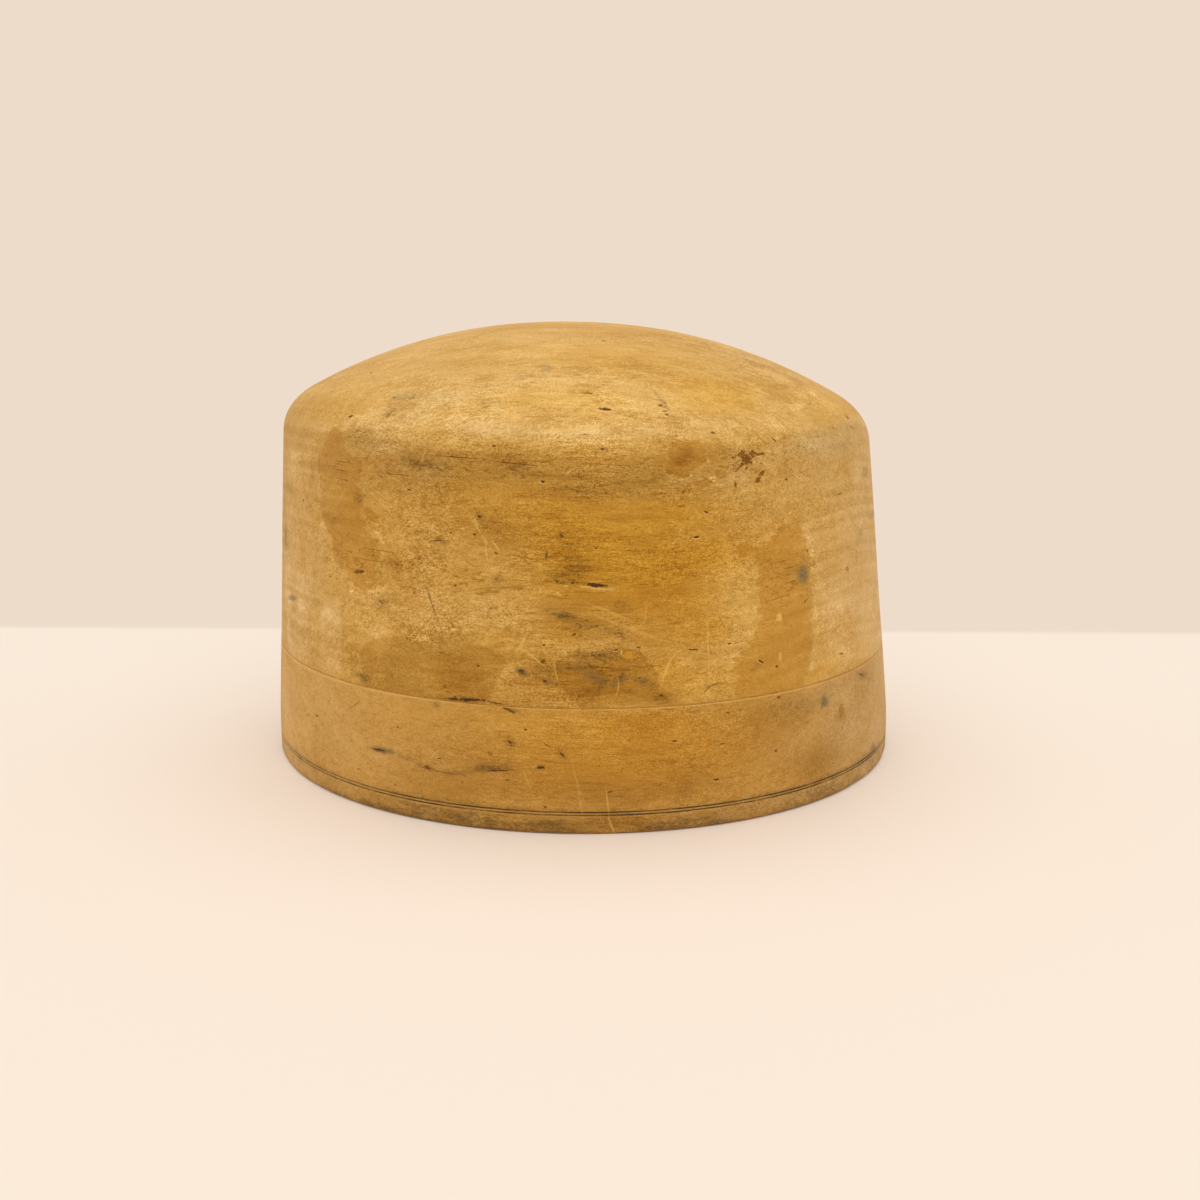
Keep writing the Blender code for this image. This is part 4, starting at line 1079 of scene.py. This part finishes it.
base_scratches = [
    (7.4, 9, 4.6, 0.3, -84, 0.5), (8.6, 2.2, 2.6, 0.4, -68, 0.6), (-0.8, 14.6, 7.2, 0.28, -72, 0.32, 0.5),
    (-14.6, 15.2, 4.4, 0.25, -66, 0.32), (-41, 20.5, 4.6, 0.22, 52, 0.3), (-0.2, 9.5, 4, 0.3, -80, 0.3),
    (-27.5, 3, 2.6, 0.3, -75, 0.3)]
base_coloured = [
    (-69.3, 29.4, 3, 0.3, 36, 0.75), (77, 29.5, 1.7, 1.6, 0, 2.9), (32.4, 33.5, 1.2, 0.8, 0, 2.35),
    (-58.6, 18.3, 4.6, 0.9, 4, 2.5)]
base_fields = {
    "finish_left": field(0.0, base_stain, base_soot),
    "wear_and_sheen": field(smudged(*base_place, base_pale_and_sheen), smudged(*base_place, base_amber), base_busy),
    "shade": field(base_tone, base_flecks, 0.4),
    "pits": marks(*base_place, base_pits),
    "scratches": marks(*base_place, base_scratches),
    "coloured": marks(*base_place, base_coloured),
}

base = Solid()
base.skin(base_skin)
base.flat(base_skin[0, :, :2], [circle((0, 0), SOCKET_RADIUS + SOCKET_CHAMFER)], 0.0, up=False)
base.flat(base_skin[-1, :, :2], dowel_mouths + [circle((0, 0), SOCKET_RADIUS)], BASE_TOP, up=True)
base.bore((0, 0), [
    (SOCKET_RADIUS + SOCKET_CHAMFER, 0.0), (SOCKET_RADIUS, SOCKET_CHAMFER), (SOCKET_RADIUS, BASE_TOP)])
base.dowel_bores(BASE_TOP, GLUE_LINE - DOWEL_BORE_DEPTH)
worn_base = base.finished("worn_base", base_fields)


LINE_RIM, LINE_CORE, GLUE_TOP, GLUE_THIN, GLUE_WIDE = 0.34 * MM, 0.12 * MM, 35.3 * MM, 0.5 * MM, 1.3 * MM


def lines_and_glue(paint, colour):
    """Dirt in the two cord lines, fainter at the front of the hat, and the pale glue at the
    upper edge, wider there. Both are broken by the same noise."""
    along, _, up = paint.parts(paint.place())
    broken = paint.ramp(paint.noise((90.0, 90.0, 900.0), 4.0, 0.68, 1.1), 0.34, 0.60, 0.28, 1.0)
    grooves = [paint.ramp(paint.off(up, line * MM), LINE_RIM, LINE_CORE) for line in CORD_LINES]
    dirt = paint.times(paint.most(*grooves), paint.ramp(along, -84 * MM, -52 * MM, 0.30, 0.9), broken)
    glue_width = paint.ramp(along, -40 * MM, -75 * MM, GLUE_THIN, GLUE_WIDE)
    glue = paint.ramp(paint.less(GLUE_TOP, up), glue_width, 0.0, 0.0, 0.72)
    glue = paint.times(glue, paint.ramp(along, 80 * MM, 50 * MM, 0.7, 1.0), broken)
    colour = paint.blend(dirt, colour, (0.085, 0.058, 0.032))
    return paint.blend(glue, colour, (0.88, 0.53, 0.15))


base_pattern = {
    "Early_Wood": (0.650, 0.352, 0.076, 1), "Late_Wood": (0.600, 0.315, 0.058, 1),
    "Pith": (0.0, 0.020, -0.045), "Ring_Width": 0.0046, "Ring_Contrast": 0.12, "Shift": 9.4}
worn_base.data.materials.append(worn_wood(
    "worn base wood", base_pattern, tint=((24.0, 70.0, 70.0), 7.7, 0.45, (0.95, 0.88, 0.68)),
    amber=(0.92, 0.80, 0.36), pale=(1.01, 1.125, 1.80), shifts=(6.1, 3.9, (0.031, 0.017, 0.0)),
    grit=0.6, gloss=0.0, relief=(0.4, 0.3), smoothest=0.50, drawn=lines_and_glue))
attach(worn_base, "root")
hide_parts("base_board")

# Dowels
# Four straight-grained beech dowels, glued blind into both boards to keep them in register.
# They are hidden in the closed block, so only their material is new: bare wood, grain upright.
dowel_wood, shader, paint = new_material("bare dowel wood")
flecks = paint.noise((2600.0, 2600.0, 160.0), 3.0, 0.55, 0.4)
bump = paint.step("Bump", {"Strength": 0.4, "Distance": 0.0001, "Height": flecks})
colour = paint.blend(paint.ramp(flecks, 0.3, 0.7), (0.55, 0.36, 0.19), (0.66, 0.46, 0.26))
paint.link(colour, shader.inputs["Base Color"])
paint.link(paint.ramp(flecks, 0.3, 0.7, 0.60, 0.72), shader.inputs["Roughness"])
paint.link(bump, shader.inputs["Normal"])
for name in ("dowel_front_left", "dowel_front_right", "dowel_back_left", "dowel_back_right"):
    for slot in bpy.data.objects[name].material_slots:
        slot.material = dowel_wood

# Floor
# A large pale sheet of paper under the block. Towards its back it glows flat in its own tone for what
# the camera sees, up to half: painted light that lifts the block's shadow there. A little behind the
# block it takes the tone of the upright backdrop, and far off it melts into it.
FLOOR_TONE = (0.985, 0.850, 0.716)
BACKDROP_TONE = (0.855, 0.716, 0.598)
BACKDROP_AT, BACKDROP_BLUR = 0.116, 0.004
SHEET_HALF, SHEET_DROP = 3.0, 0.1 * MM
GLOW_FROM, GLOW_TO, GLOW_SHARE = -0.09, 0.07, 0.5
MELTS_FROM, MELTS_TO = 0.7, 1.6


def seen_straight(recipe):
    """1 for what the camera sees, also in gloss or through glass, and 0 for the light that
    the sheet and the backdrop throw on the block."""
    path = recipe.tree.nodes.new("ShaderNodeLightPath")
    kinds = ("Is Camera Ray", "Is Glossy Ray", "Is Transmission Ray")
    return recipe.most(*(path.outputs[kind] for kind in kinds))


sheet = bpy.data.meshes.new("floor")
corners = [(x * SHEET_HALF, y * SHEET_HALF, -SHEET_DROP) for x, y in ((-1, -1), (1, -1), (1, 1), (-1, 1))]
sheet.from_pydata(corners, [], [(0, 1, 2, 3)])
floor = new_object("floor", sheet)
paper, shader, paint = new_material("pale paper")
shader.inputs["Roughness"].default_value = 0.9
shader.inputs["Specular IOR Level"].default_value = 0.0
towards_back = paint.parts(paint.place())[1]
behind = paint.ramp(towards_back, BACKDROP_AT - BACKDROP_BLUR, BACKDROP_AT + BACKDROP_BLUR)
# Painted light: from the block's front backwards, up to half of the sheet glows flat and lifts its shadow
shadow_lifting_glow = paint.ramp(towards_back, GLOW_FROM, GLOW_TO, 0.0, GLOW_SHARE)
away = paint.ramp(paint.vector("LENGTH", paint.place(), result="Value"), MELTS_FROM, MELTS_TO)
glowing = paint.times(seen_straight(paint), paint.most(behind, shadow_lifting_glow, away))
tone = paint.blend(behind, FLOOR_TONE, BACKDROP_TONE)
paint.link(tone, shader.inputs["Base Color"])
glow = paint.step("Emission", {"Color": tone, "Strength": 1.0})
mixed = paint.step("MixShader", {0: glowing, 1: shader.outputs[0], 2: glow})
paint.link(mixed, paper.node_tree.nodes["Material Output"].inputs["Surface"])
sheet.materials.append(paper)

# Light
# The even white light of a small photographer's tent: a wide soft lamp overhead, a lit white
# wall at either side, and a weaker light from all round.
ALL_ROUND = (0.50, 0.50, 0.50)
world = bpy.data.worlds.new("light tent")
bpy.context.scene.world = world
world.use_nodes = True
sky = Recipe(world.node_tree)
background = world.node_tree.nodes["Background"]
background.inputs["Strength"].default_value = 1.0
sky.link(sky.blend(seen_straight(sky), ALL_ROUND, BACKDROP_TONE), background.inputs["Color"])


def soft_lamp(name, side, watts, place, turn):
    """A square lamp: its side, its power, where it hangs and its turn in degrees."""
    data = bpy.data.lights.new(name, "AREA")
    data.shape = "SQUARE"
    data.size = side
    data.energy = watts
    lamp = new_object(name, data)
    lamp.visible_camera = False
    lamp.location = place
    lamp.rotation_euler = [math.radians(angle) for angle in turn]


soft_lamp("overhead lamp", 1.1, 5.25, (0.0, -0.14, 0.90), (8, 0, 0))
soft_lamp("left white wall", 0.6, 0.36, (-0.62, -0.05, 0.32), (0, -78, 0))
soft_lamp("right white wall", 0.6, 0.40, (0.62, -0.05, 0.32), (0, 78, 0))

bpy.context.scene.view_settings.view_transform = "Standard"
